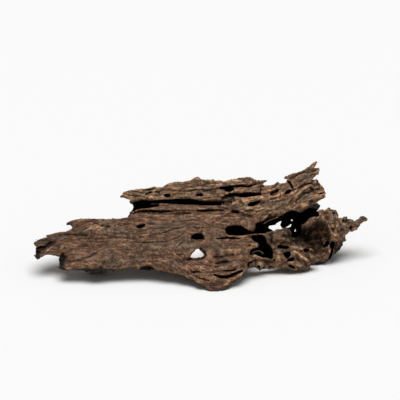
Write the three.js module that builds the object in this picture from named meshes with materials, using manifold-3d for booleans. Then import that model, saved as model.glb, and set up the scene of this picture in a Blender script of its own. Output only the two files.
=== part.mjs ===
// A hollow, weathered piece of mangrove wood that lies on its underside.
//
// Millimetres, +Z up, +X to the right, +Y away from the front. The forms are laid out as
// they are seen from the front and a little above: "across" and "up" lie in that tilted
// picture plane and "deep" runs away from it. place() turns the three into X, Y and Z.

import * as THREE from 'three';
import { mergeVertices } from 'three/addons/utils/BufferGeometryUtils.js';
import Module from 'manifold-3d';

const wasm = await Module();
wasm.setup();

// Driving dimensions
const viewTilt = THREE.MathUtils.degToRad(20);   // how far the picture plane leans back
const eyeDistance = 2000;                        // outlines spread with depth from this eye
const eyeUp = 121;                               // height of the eye's axis in the plane
const nearLimit = -60;                           // the depths that hold all of the wood
const farLimit = 260;
const seam = 0.3;                                // gap at each fork between two nodes
const ridgeWidth = 13;                           // across the grain, from ridge to ridge
const ridgeHeight = 2.6;
const ridgeWander = { long: 37, longBy: 3, short: 15, over: 9, shortBy: 2 };
const ridgeSwell = { along: 26, over: 12, least: 0.2 };
const fineCell = 9.9;                            // mesh cells on faces with grain
const strandCell = 7.5;                          // on the strand
const burlCell = 7;                              // in the bowl
const roundCell = 14;                            // on the backs of the strand and the burl
const backCell = 12;                             // on the back of the log
const plainCell = 18;                            // on the inner wood
const coarseCell = 25;                           // and on plain inner faces

// Thickness along the depth, the width over which each thins to its broken edge, how thick
// that edge is, and how far it lies behind the face
const slabBody = { thick: 25, thins: 16, edge: 9, back: 5 };
const limbBody = { thick: 23, thins: 14, edge: 8, back: 4 };
const strandBody = { thick: 22, thins: 10, edge: 9, back: 4 };
const backBody = { thick: 17, thins: 12, edge: 6 };
const innerBody = { near: 102, edge: 10, swell: 6, thins: 12 };

// Depth of the main faces: value at a named height and slope up the picture plane
const slabFoot = -9;
const slabSlope = 1.04;
const slabBulge = { amount: 7, top: 114 };
const slabKnot = { across: -4, up: 72, reach: 22, shift: 4 };
const limbLeft = { up: 120, deep: 115, slope: 0.5 };
const limbRight = { up: 95, deep: 88, slope: 0.55 };
const limbBlend = { from: 5, to: 95 };
const limbSweep = { from: 60, to: 150, climb: 0.3 };
const backWall = { crest: 146, fall: 86, lean: 28, bulge: 11, gap: 4 };
const strandDepth = { left: 30, middle: 46, right: 56, top: 64, lowUp: 44, topUp: 66 };
const strandAcross = { slab: 62, level: 96, turn: 116, burl: 150 };
const strandGrain = 0.7;                         // its ridges against those of the slab
const burlDepth = { face: 80, flare: 0.45, flareFrom: 172, roof: 0.6, roofFrom: 92 };
const burlUnder = { slope: 0.2, below: 52 };
const burlCurl = { alongUp: 0.8, alongAcross: 0.4, overUp: 0.5 };
const bowl = { depth: 52, wall: 20 };
const burlDome = { edge: 92, swell: 66, reach: 42, wall: 10, tail: 0.5, tailFrom: 190 };

// The front slab, from its broken left end round the lower edge, the foot and the right
// end with its two bays, and back along the lip of the long fissure
const slabOutline = [
  [-177, 91], [-168, 95], [-158, 97], [-127, 96], [-107, 97], [-95, 98], [-86, 100],
  [-84, 108], [-71, 110], [-55, 112], [-53, 116], [-33, 115], [7, 113], [29, 114],
  [45, 104], [60, 97], [75, 88], [72, 80], [65, 79], [56, 86], [39, 86], [35, 81], [37, 74],
  [53, 73], [80, 76], [81, 73], [69, 72], [70, 68], [78, 63], [78, 59], [70, 56], [67, 52],
  [67, 45], [65, 36], [62, 28], [53, 18], [45, 10], [37, 4], [29, 1], [15, 0], [7, 2],
  [3, 5], [-8, 11], [-19, 16], [-43, 22], [-60, 27], [-93, 30], [-107, 28], [-131, 24],
  [-145, 23], [-160, 27], [-171, 27], [-181, 27], [-189, 29], [-188, 43], [-197, 47],
  [-203, 48], [-214, 42], [-221, 46], [-218, 54], [-222, 62], [-217, 65], [-219, 69],
  [-205, 70], [-208, 73], [-193, 77], [-173, 82], [-170, 84],
];

// The limb behind the fissure, from its left tip along the crest and the spike, and back
// under the roof of the cave
const limbOutline = [
  [-107, 125], [-103, 130], [-89, 134], [-67, 136], [-62, 139], [-52, 137], [-43, 142],
  [-33, 145], [-12, 147], [-4, 152], [2, 148], [29, 147], [48, 150], [64, 152], [76, 147],
  [91, 148], [83, 140], [95, 140], [104, 145], [111, 142], [117, 148], [112, 149],
  [117, 153], [136, 160], [144, 165], [155, 173], [157, 171], [152, 163], [159, 163],
  [159, 159], [151, 150], [149, 148], [155, 149], [161, 141], [165, 133], [168, 130],
  [167, 124], [156, 119], [160, 113], [155, 106], [145, 110], [135, 104], [123, 106],
  [109, 99], [96, 100], [92, 101], [83, 93], [75, 88], [60, 97], [45, 104], [29, 114],
  [32, 117], [29, 120], [7, 120], [-23, 122], [-69, 120], [-84, 118], [-83, 108],
  [-85, 98], [-96, 98], [-90, 106], [-89, 110], [-93, 119], [-97, 121], [-104, 123],
];

// The strand and the knob between the slab and the hollow burl
const strandOutline = [
  [62, 38], [63, 30], [77, 29], [80, 26], [85, 30], [113, 29], [119, 26], [124, 25],
  [145, 27], [147, 33], [156, 42], [152, 55], [137, 56], [122, 61], [119, 72], [123, 75],
  [119, 82], [111, 83], [97, 79], [88, 77], [78, 77], [78, 73], [87, 72], [90, 62],
  [95, 58], [97, 47], [91, 42], [72, 47], [64, 48],
];

// The hollow burl with its spur, and the mouth of its bowl
const burlOutline = [
  [144, 34], [157, 35], [168, 40], [175, 46], [184, 52], [191, 60], [195, 68], [193, 73],
  [195, 77], [208, 79], [215, 90], [223, 93], [225, 96], [217, 101], [207, 93], [201, 96],
  [194, 99], [184, 97], [184, 102], [181, 105], [182, 108], [170, 110], [161, 109],
  [150, 112], [128, 112], [115, 107], [109, 98], [107, 88], [109, 78], [112, 60], [123, 42],
];
const mouthOutline = [
  [98, 84], [100, 122], [150, 122], [147, 100], [140, 88], [149, 91], [157, 96], [165, 96],
  [171, 90], [175, 76], [173, 55], [161, 41], [147, 42], [134, 54], [122, 62], [116, 74],
];

// The inner side of the hollow, which shows dark between the slab and the burl
const innerOutline = [
  [58, 40], [70, 34], [112, 36], [126, 50], [128, 72], [116, 80], [104, 76], [90, 74],
  [76, 82], [62, 74],
];

// The back of the log below the crest, hidden from the front, with its feet on the floor
const backOutline = [
  [-95, 125], [-84, 132], [-60, 136], [-43, 141], [-12, 145], [29, 146], [64, 149],
  [100, 141], [128, 148], [150, 138], [158, 118], [156, 96], [150, 84], [140, 76],
  [134, 52], [122, 50], [116, 62], [108, 64], [103, 50], [60, 50], [53, 64], [38, 71],
  [34, 84], [26, 94], [10, 99], [-8, 97], [-22, 101], [-38, 96], [-47, 88], [-52, 70],
  [-57, 52], [-74, 50], [-77, 74], [-86, 84], [-85, 100], [-86, 112],
];

// Borer holes and hollows: middle, half widths, turn in degrees, depths they run between
const slabHoles = [
  { across: -4, up: 72, wide: 8.5, high: 4.2, turn: 4, from: 40, to: 88 },
  { across: -3, up: 49, wide: 8, high: 6.5, turn: -14, from: 20, to: 90 },
  { across: -79, up: 86, wide: 7.5, high: 3, turn: 12, from: 50, to: 94 },
  { across: 47, up: 105, wide: 4, high: 3, turn: -20, from: 80, to: 112 },
];
const limbHoles = [
  { across: -44, up: 126, wide: 5, high: 2.6, turn: 8, from: 90, to: 134 },
  { across: 0, up: 128, wide: 5.5, high: 2.6, turn: 4, from: 90, to: 134 },
  { across: 38, up: 135, wide: 9, high: 3, turn: 0, from: 90, to: 128 },
  { across: 38, up: 120, wide: 9, high: 6, turn: 0, from: 80, to: 122 },
  { across: 72, up: 117, wide: 9, high: 3, turn: 22, from: 70, to: 130 },
  { across: 99, up: 132, wide: 8, high: 2.4, turn: 40, from: 80, to: 124 },
  { across: 118, up: 132, wide: 4, high: 3, turn: 10, from: 80, to: 126 },
];
const backHoles = [
  { across: 109, up: 87, wide: 20, high: 8, turn: -4, from: 130, to: 220 },
  { across: -30, up: 101, wide: 8, high: 4.5, turn: -8, from: 140, to: 220 },
  { across: 66, up: 92, wide: 6, high: 4, turn: 10, from: 150, to: 220 },
];
const burlHoles = [
  { across: 169, up: 62, wide: 3.5, high: 4.5, turn: -20, from: 70, to: 106 },
  { across: 116, up: 48, wide: 4.5, high: 4, turn: 0, from: 20, to: 64 },
  { across: 123, up: 42, wide: 4.5, high: 3.5, turn: 10, from: 20, to: 63 },
  { across: 122, up: 33, wide: 4, high: 2.6, turn: 0, from: 20, to: 58 },
  { across: 177, up: 103, wide: 3, high: 2.5, turn: 0, from: 60, to: 102 },
  { across: 118, up: 87, wide: 5, high: 2.4, turn: 25, from: 100, to: 200 },
  { across: 127, up: 81, wide: 1.8, high: 3, turn: 0, from: 100, to: 200 },
];

// Open cracks along the grain: the points that each runs through, and its half width
const slabCracks = [
  { wide: 2.6, points: [[-69, 73], [-47, 77], [-29, 83], [-12, 90]] },
  { wide: 2.8, points: [[-80, 62], [-67, 64], [-40, 65], [-29, 71], [-18, 80]] },
  { wide: 2.6, points: [[-200, 63], [-167, 69], [-140, 72]] },
  { wide: 2.6, points: [[-176, 40], [-155, 44], [-133, 54], [-110, 60]] },
  { wide: 3.0, points: [[-88, 102], [-67, 105], [-40, 104], [-13, 102]] },
  { wide: 2.2, points: [[20, 70], [38, 69], [58, 69]] },
  { wide: 2.8, points: [[16, 21], [28, 17], [40, 18], [55, 26]] },
  { wide: 2.4, points: [[14, 44], [30, 46], [50, 49], [64, 51]] },
  { wide: 2.4, points: [[-30, 40], [-10, 34], [12, 33], [38, 38]] },
  { wide: 2.6, points: [[-120, 42], [-90, 46], [-60, 44], [-34, 52]] },
  { wide: 2.2, points: [[-130, 84], [-108, 86], [-96, 90]] },
];
const limbCracks = [
  { wide: 2.2, points: [[-78, 127], [-60, 128], [-56, 127]] },
  { wide: 2.4, points: [[-32, 137], [-10, 138], [12, 136]] },
  { wide: 2.4, points: [[44, 128], [60, 129], [82, 129], [92, 130]] },
  { wide: 2.2, points: [[48, 141], [60, 142], [74, 141]] },
  { wide: 2.8, points: [[90, 124], [107, 131], [128, 146], [144, 160]] },
  { wide: 2.8, points: [[84, 108], [100, 113], [122, 119], [140, 126], [158, 136]] },
  { wide: 2.4, points: [[93, 104], [112, 107], [132, 113], [150, 122]] },
  { wide: 2.4, points: [[115, 149], [121, 141], [124, 136]] },
];
const backCracks = [
  { wide: 3, points: [[-90, 122], [-50, 126], [-10, 130], [30, 128]] },
  { wide: 3, points: [[-76, 104], [-60, 112], [-20, 108], [4, 104]] },
  { wide: 3, points: [[34, 112], [70, 118], [104, 120], [140, 112]] },
  { wide: 3, points: [[52, 76], [60, 94], [84, 104], [120, 100]] },
];
const burlCracks = [
  { wide: 2.6, points: [[178, 70], [178, 60], [175, 50], [170, 43]] },
  { wide: 2.4, points: [[184, 96], [187, 84], [186, 70]] },
  { wide: 2.2, points: [[194, 84], [206, 88], [216, 94]] },
  { wide: 2.2, points: [[70, 38], [88, 37], [112, 40], [132, 46]] },
];

// The leg under the left half of the slab, the heel behind the front foot, the knot behind
// the borer in the middle of the slab, and the knob above the low strand
const leg = { x: -142, y: 62, top: 42, topRadius: 20, footRadius: 9, lean: 16 };
const legSection = { wide: 1.3, deep: 0.7, flutes: 4, fluteDepth: 0.16, twist: 14, root: 4 };
const knot = { across: -4, up: 73, deep: 84, wide: 19, high: 13, thick: 13, turn: 0 };
const heel = { across: 20, up: 13, deep: 25, wide: 25, high: 11, thick: 21, turn: -0.1 };
const holeTaper = 0.82;                          // width of a hole's end to its mouth
const knob = { across: 107, up: 72, deep: 74, wide: 15, high: 10, thick: 19, turn: 0.2 };

function place(across, up, deep) {
  const spread = 1 + deep / eyeDistance;
  const rise = eyeUp + (up - eyeUp) * spread;
  return [
    across * spread,
    rise * Math.sin(viewTilt) + deep * Math.cos(viewTilt),
    rise * Math.cos(viewTilt) - deep * Math.sin(viewTilt),
  ];
}

function solidOf(geometry) {
  const bare = geometry.clone();
  bare.deleteAttribute('normal');
  bare.deleteAttribute('uv');
  const merged = mergeVertices(bare, 1e-4);
  return new wasm.Manifold(new wasm.Mesh({
    numProp: 3,
    vertProperties: new Float32Array(merged.attributes.position.array),
    triVerts: new Uint32Array(merged.index.array),
  }));
}

function intoView(geometry, deepOf) {
  const spots = geometry.attributes.position;
  for (let i = 0; i < spots.count; i += 1) {
    const across = spots.getX(i);
    const up = spots.getY(i);
    spots.setXYZ(i, ...place(across, up, deepOf(across, up, spots.getZ(i))));
  }
  return solidOf(geometry);
}

// An outline pushed out along its own corners by a small amount
function grown(outline, amount) {
  const count = outline.length;
  const turnsLeft = THREE.ShapeUtils.area(outline.map(([x, y]) => new THREE.Vector2(x, y))) > 0;
  return outline.map(([x, y], i) => {
    const [beforeX, beforeY] = outline[(i + count - 1) % count];
    const [afterX, afterY] = outline[(i + 1) % count];
    const along = new THREE.Vector2(afterX - beforeX, afterY - beforeY).normalize();
    const side = turnsLeft ? amount : -amount;
    return [x + along.y * side, y - along.x * side];
  });
}

function prism(outline) {
  const shape = new THREE.Shape(outline.map(([x, y]) => new THREE.Vector2(x, y)));
  const geometry = new THREE.ExtrudeGeometry(shape, { depth: 1, bevelEnabled: false });
  return intoView(geometry, (across, up, side) => (side > 0.5 ? nearLimit : farLimit));
}

function sheetSpan(outline, cell) {
  const box = new THREE.Box2().setFromPoints(outline.map(([x, y]) => new THREE.Vector2(x, y)));
  const size = box.getSize(new THREE.Vector2()).addScalar(4);
  const middle = box.getCenter(new THREE.Vector2());
  const columns = Math.ceil(size.x / (cell * 1.6));
  const rows = Math.ceil(size.y / cell);
  const sheet = new THREE.BoxGeometry(size.x, size.y, 1, columns, rows, 1);
  return sheet.translate(middle.x, middle.y, 0);
}

// The wood inside an outline, between its near face and its far face, made larger by grow
function plate(outline, near, far, grow, nearCell, farCell) {
  const behind = intoView(sheetSpan(outline, nearCell),
    (across, up, side) => (side > 0 ? near(across, up) - grow : farLimit));
  const before = intoView(sheetSpan(outline, farCell),
    (across, up, side) => (side > 0 ? nearLimit : far(across, up) + grow));
  return prism(grown(outline, grow)).intersect(behind).intersect(before);
}

function edgeDistance(outline, across, up) {
  let nearest = Infinity;
  const spot = new THREE.Vector3(across, up, 0);
  const edge = new THREE.Line3();
  const foot = new THREE.Vector3();
  outline.forEach(([x, y], i) => {
    const [nextX, nextY] = outline[(i + 1) % outline.length];
    edge.start.set(x, y, 0);
    edge.end.set(nextX, nextY, 0);
    edge.closestPointToPoint(spot, true, foot);
    nearest = Math.min(nearest, foot.distanceTo(spot));
  });
  return nearest;
}

function isInside(outline, across, up) {
  let inside = false;
  outline.forEach(([x, y], i) => {
    const [nextX, nextY] = outline[(i + 1) % outline.length];
    const spans = (y > up) !== (nextY > up);
    if (spans && across < ((nextX - x) * (up - y)) / (nextY - y) + x) inside = !inside;
  });
  return inside;
}

// How full the wood is near its edge: 0 at the edge, 1 from a given width inwards
function fullness(outline, across, up, width) {
  if (!isInside(outline, across, up)) return 0;
  return THREE.MathUtils.smoothstep(edgeDistance(outline, across, up), 0, width);
}

const mix = THREE.MathUtils.lerp;
const ease = THREE.MathUtils.smoothstep;

// Weathered grain: ridges that run with the wood and wander a little
function grain(along, over) {
  const slow = ridgeWander.longBy * Math.sin(along / ridgeWander.long);
  const quick = ridgeWander.shortBy * Math.sin(along / ridgeWander.short + over / ridgeWander.over);
  const phase = (2 * Math.PI * (over + slow + quick)) / ridgeWidth;
  const wave = (1 + Math.sin(along / ridgeSwell.along + over / ridgeSwell.over)) / 2;
  return -ridgeHeight * mix(ridgeSwell.least, 1, wave) * Math.sin(phase);
}

function slabFace(across, up) {
  const height = THREE.MathUtils.clamp(up / slabBulge.top, 0, 1);
  const bulge = slabBulge.amount * Math.sin(Math.PI * height);
  const near = Math.exp(-(((across - slabKnot.across) / slabKnot.reach) ** 2));
  const bend = near * Math.sign(up - slabKnot.up) * slabKnot.shift;
  return slabFoot + slabSlope * up - bulge + grain(across, up + bend);
}

function limbFace(across, up) {
  const left = limbLeft.deep + (up - limbLeft.up) * limbLeft.slope;
  const right = limbRight.deep + (up - limbRight.up) * limbRight.slope;
  const past = across - limbSweep.from;
  const sweep = ease(across, limbSweep.from, limbSweep.to) * past * limbSweep.climb;
  return mix(left, right, ease(across, limbBlend.from, limbBlend.to)) + grain(across, up - sweep);
}

// The strand leaves the slab near the front and runs back into the burl
function strandFace(across, up) {
  const { left, middle, right, top, lowUp, topUp } = strandDepth;
  const level = mix(left, middle, ease(across, strandAcross.slab, strandAcross.level));
  const low = mix(level, right, ease(across, strandAcross.turn, strandAcross.burl));
  const face = mix(low, Math.max(low, top), ease(up, lowUp, topUp));
  return face + strandGrain * grain(across, up);
}

function burlFace(across, up) {
  const right = Math.max(0, across - burlDepth.flareFrom) * burlDepth.flare;
  const top = Math.max(0, up - burlDepth.roofFrom) * burlDepth.roof;
  const under = Math.max(0, burlUnder.below - up) * burlUnder.slope;
  const curl = grain(up * burlCurl.alongUp + across * burlCurl.alongAcross,
    across - up * burlCurl.overUp);
  const face = burlDepth.face + right + top + under + curl;
  if (!isInside(mouthOutline, across, up)) return face;
  return face + bowl.depth * ease(edgeDistance(mouthOutline, across, up), 0, bowl.wall);
}

function burlBack(across, up) {
  const round = Math.sqrt(fullness(burlOutline, across, up, burlDome.reach));
  const tail = Math.max(0, across - burlDome.tailFrom) * burlDome.tail;
  const dome = burlDome.edge + burlDome.swell * round + tail;
  return Math.max(dome + grain(up, across), burlFace(across, up) + burlDome.wall);
}

// The back leaves the crest behind the limb and bulges on its way down
function backFace(across, up) {
  const down = (backWall.crest - up) / backWall.fall;
  const bulge = backWall.bulge * Math.sin(Math.PI * THREE.MathUtils.clamp(down, 0, 1));
  return limbFace(across, backWall.crest) + backWall.gap + backWall.lean * down + bulge;
}

// Holes are round-ended and lie along the depth
function hole({ across, up, wide, high, turn, from, to }) {
  const geometry = new THREE.CylinderGeometry(1, holeTaper, 1, 9, 1);
  geometry.rotateX(Math.PI / 2);
  geometry.scale(wide, high, 1);
  geometry.rotateZ(THREE.MathUtils.degToRad(turn));
  geometry.translate(across, up, 0);
  return intoView(geometry, (x, y, side) => (side > 0 ? from : to));
}

// A crack follows the face that it lies in
function crack({ points, wide }, face) {
  const path = new THREE.CatmullRomCurve3(points.map(([across, up]) => (
    new THREE.Vector3(...place(across, up, face(across, up))))));
  const section = new THREE.Shape();
  section.absellipse(0, 0, wide, wide, 0, Math.PI * 2);
  const steps = points.length * 2;
  const options = { extrudePath: path, steps, bevelEnabled: false, curveSegments: 2 };
  return solidOf(new THREE.ExtrudeGeometry(section, options));
}

function weathered(solid, holes, cracks, face) {
  const holed = holes.reduce((wood, item) => wood.subtract(hole(item)), solid);
  return cracks.reduce((wood, item) => wood.subtract(crack(item, face)), holed);
}

function lump({ across, up, deep, wide, high, thick, turn }) {
  const geometry = new THREE.SphereGeometry(1, 11, 7);
  geometry.scale(wide, high, thick);
  geometry.rotateZ(turn);
  geometry.translate(across, up, 0);
  return intoView(geometry, (x, y, side) => deep - side);
}

function slabLeg() {
  const { wide, deep, flutes, fluteDepth, twist, root } = legSection;
  const length = leg.top + root;
  const geometry = new THREE.CylinderGeometry(leg.topRadius, leg.footRadius, length, 12, 4);
  geometry.rotateX(Math.PI / 2);
  const spots = geometry.attributes.position;
  for (let i = 0; i < spots.count; i += 1) {
    const turn = Math.atan2(spots.getY(i), spots.getX(i));
    const flute = 1 + fluteDepth * Math.sin(turn * flutes + spots.getZ(i) / twist);
    const height = spots.getZ(i) + (leg.top - root) / 2;
    const shift = leg.lean * (height / leg.top);
    spots.setXYZ(i, leg.x + spots.getX(i) * flute * wide,
      leg.y + shift + spots.getY(i) * flute * deep, height);
  }
  return solidOf(geometry);
}

// A sheet of wood with a grained face that thins towards its broken edge
function sheet(outline, face, { thick, thins, edge, back }, grow, nearCell, farCell) {
  const body = (across, up) => fullness(outline, across, up, thins);
  const near = (across, up) => face(across, up) + back * (1 - body(across, up));
  const far = (across, up) => face(across, up) + edge + (thick - edge) * body(across, up);
  return plate(outline, near, far, grow, nearCell, farCell);
}

// The slab, the limb and the back are made once at their size and once a seam larger, to cut
// their neighbours
function slabWood(grow) {
  return sheet(slabOutline, slabFace, slabBody, grow, fineCell, coarseCell);
}

function limbWood(grow) {
  return sheet(limbOutline, limbFace, limbBody, grow, fineCell, coarseCell);
}

function strandWood() {
  return sheet(strandOutline, strandFace, strandBody, 0, strandCell, roundCell);
}

function backWood(grow) {
  const { thick, thins, edge } = backBody;
  const body = (across, up) => fullness(backOutline, across, up, thins);
  const far = (across, up) => backFace(across, up) + edge
    + (thick - edge) * body(across, up) - grain(across, up);
  const wood = plate(backOutline, backFace, far, grow, coarseCell, backCell);
  return weathered(wood, backHoles, backCracks, far);
}

function innerWood() {
  const { near, edge, swell, thins } = innerBody;
  const front = (across, up) => near + grain(across, up);
  const back = (across, up) => near + edge + swell * fullness(innerOutline, across, up, thins);
  return plate(innerOutline, front, back, 0, plainCell, plainCell);
}

function burlWood() {
  return plate(burlOutline, burlFace, burlBack, 0, burlCell, roundCell);
}

// All that lies below the surface that the wood rests on is cut off flat
function floorCut(solid) {
  const below = new THREE.BoxGeometry(800, 800, 80);
  below.translate(0, 0, -40);
  return solid.subtract(solidOf(below));
}

function meshOf(name, solid, colour, roughness) {
  const { vertProperties, triVerts } = solid.getMesh();
  const geometry = new THREE.BufferGeometry();
  geometry.setAttribute('position', new THREE.BufferAttribute(vertProperties, 3));
  geometry.setIndex(new THREE.BufferAttribute(triVerts, 1));
  const material = new THREE.MeshStandardMaterial({ color: colour, roughness, metalness: 0 });
  const mesh = new THREE.Mesh(geometry, material);
  mesh.name = name;
  return mesh;
}

const slabAround = slabWood(seam);
const limbAround = limbWood(seam).add(backWood(seam));

const slab = weathered(slabWood(0).add(slabLeg()).add(lump(heel)).add(lump(knot)),
  slabHoles, slabCracks, slabFace);
const limb = weathered(limbWood(0).add(backWood(0)).subtract(slabAround),
  limbHoles, limbCracks, limbFace);
const root = weathered(strandWood().add(innerWood()).add(burlWood()).add(lump(knob)),
  burlHoles, burlCracks, burlFace)
  .subtract(slabAround)
  .subtract(limbAround);

const wood = new THREE.Group();
wood.add(meshOf('front_slab', floorCut(slab), 0x8a6a4d, 0.86));
wood.add(meshOf('upper_limb', floorCut(limb), 0x7d6450, 0.88));
wood.add(meshOf('hollow_root', floorCut(root), 0x73563f, 0.9));

// The origin is the middle of the space that the wood takes up, on the surface below it
const middle = new THREE.Box3().setFromObject(wood).getCenter(new THREE.Vector3());
wood.position.set(-middle.x, -middle.y, 0);

export default wood;
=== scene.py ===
import bpy
import math
import numpy as np
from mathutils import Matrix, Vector
from mathutils.bvhtree import BVHTree


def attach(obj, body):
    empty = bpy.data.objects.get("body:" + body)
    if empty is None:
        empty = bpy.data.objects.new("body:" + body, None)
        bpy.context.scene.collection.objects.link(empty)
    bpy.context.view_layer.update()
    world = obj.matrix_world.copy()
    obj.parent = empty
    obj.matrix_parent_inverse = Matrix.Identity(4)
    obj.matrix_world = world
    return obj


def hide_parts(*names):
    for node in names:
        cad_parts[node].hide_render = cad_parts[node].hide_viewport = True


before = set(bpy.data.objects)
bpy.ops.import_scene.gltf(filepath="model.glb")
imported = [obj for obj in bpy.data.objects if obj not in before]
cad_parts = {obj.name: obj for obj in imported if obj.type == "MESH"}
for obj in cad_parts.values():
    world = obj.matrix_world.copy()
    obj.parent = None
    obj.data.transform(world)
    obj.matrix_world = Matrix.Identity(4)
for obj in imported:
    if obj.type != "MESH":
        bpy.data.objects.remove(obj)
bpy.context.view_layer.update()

mm = 0.001

# The eye that the wood is seen from. It looks 20 degrees down, and the shapes below are placed
# by picture pixels, each 4/3 mm wide at the front foot. Other lengths are in mm.
eye = {
    "tilt": math.radians(20),
    "distance": 2000,
    "axisUp": 121,
    "footPixel": (200, 291),
    "pixel": 4 / 3,
    "footX": -4.86,
    "footY": -97.60,
    "lens": 135,
}
tiltSin = math.sin(eye["tilt"])
tiltCos = math.cos(eye["tilt"])
toEye = np.array([0, -tiltCos, tiltSin])


def seenAt(points):
    # across, up and deep, in mm, of points in the row frame
    x, y, z = points.T / mm
    x = x - eye["footX"]
    y = y - eye["footY"]
    rise = y * tiltSin + z * tiltCos
    deep = y * tiltCos - z * tiltSin
    spread = 1 + deep / eye["distance"]
    return np.stack([x / spread, eye["axisUp"] + (rise - eye["axisUp"]) / spread, deep], axis=1)


def standsAt(view):
    # the way back, from across, up and deep to the row frame
    across, up, deep = view.T
    spread = 1 + deep / eye["distance"]
    rise = eye["axisUp"] + (up - eye["axisUp"]) * spread
    x = across * spread + eye["footX"]
    y = rise * tiltSin + deep * tiltCos + eye["footY"]
    return np.stack([x, y, rise * tiltCos - deep * tiltSin], axis=1) * mm


# the eye itself, a hair nearer so that the spread there isn't 0
eyeSpot = standsAt(np.array([[0, eye["axisUp"], 1e-3 - eye["distance"]]]))[0]


def fromPixels(spots):
    footX, footY = eye["footPixel"]
    return np.array([((x - footX) * eye["pixel"], (footY - y) * eye["pixel"]) for x, y in spots])


def ease(value, low, high):
    t = np.clip((value - low) / (high - low), 0, 1)
    return t * t * (3 - 2 * t)


def mix(a, b, t):
    return a + (b - a) * t


# Smooth lattice noise in three directions, about -1 to 1, the same each run
slopes = np.random.default_rng(7).normal(size=(256, 3))
slopes /= np.linalg.norm(slopes, axis=1)[:, None]


def noiseAt(points, seed):
    # the large numbers scatter the lattice's cells over the slopes
    cell = np.floor(points).astype(np.int64)
    part = points - cell
    fade = part ** 3 * (part * (part * 6 - 15) + 10)
    total = np.zeros(len(points))
    for corner in np.ndindex(2, 2, 2):
        spot = cell + corner
        mixed = spot[:, 0] * 73856093 ^ spot[:, 1] * 19349663 ^ spot[:, 2] * 83492791 ^ seed * 2654435
        mixed = (mixed ^ (mixed >> 11)) * 40503
        slope = slopes[(mixed ^ (mixed >> 7)) & 255]
        weight = np.prod(np.where(np.array(corner) > 0, fade, 1 - fade), axis=1)
        total += weight * np.sum(slope * (part - corner), axis=1)
    return total * 1.7


def streaks(flow, along, over, seed):
    # noise that is long with the grain and narrow across it
    return noiseAt(flow / np.array([along, over, over]), seed)


def furrows(flow, along, over, seed):
    # rounded strands with narrow valleys between them
    return 2 * np.clip(np.abs(streaks(flow, along, over, seed)) * 1.6, 0, 1) ** 0.6 - 1


def selectOnly(*things):
    for other in bpy.context.selected_objects:
        other.select_set(False)
    for thing in things:
        thing.select_set(True)
    bpy.context.view_layer.objects.active = things[0]


def valuesOf(items, field, width=3, kind=float):
    values = np.empty(len(items) * width, dtype=kind)
    items.foreach_get(field, values)
    return values.reshape(-1, width)


def spotsOf(thing):
    return valuesOf(thing.data.vertices, "co")


def normalsOf(thing):
    return valuesOf(thing.data.vertex_normals, "vector")


def edgesOf(thing):
    return valuesOf(thing.data.edges, "vertices", 2, np.int64)


def moveSpots(thing, spots):
    thing.data.vertices.foreach_set("co", spots.ravel())
    thing.data.update()


# The wood while it is one skin: front and back are the ends of the solid that trims it to its
# outline, and tears are in pixels
wood = {
    "fatten": 0.9 * mm,
    "merge": 0.002 * mm,
    "roughVoxel": 1.35 * mm,
    "voxel": 1.12 * mm,
    "roughRounds": 10,
    "fineRounds": 2,
    "smoothSteps": (0.6, -0.45, 0.3),
    "smoothReach": 0.9 * mm,
    "front": -90,
    "back": 330,
    "tear": 0.24,
    "holeTear": 0.15,
    "tearStep": 1.1,
    "tearSeed": 1,
}

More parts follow.
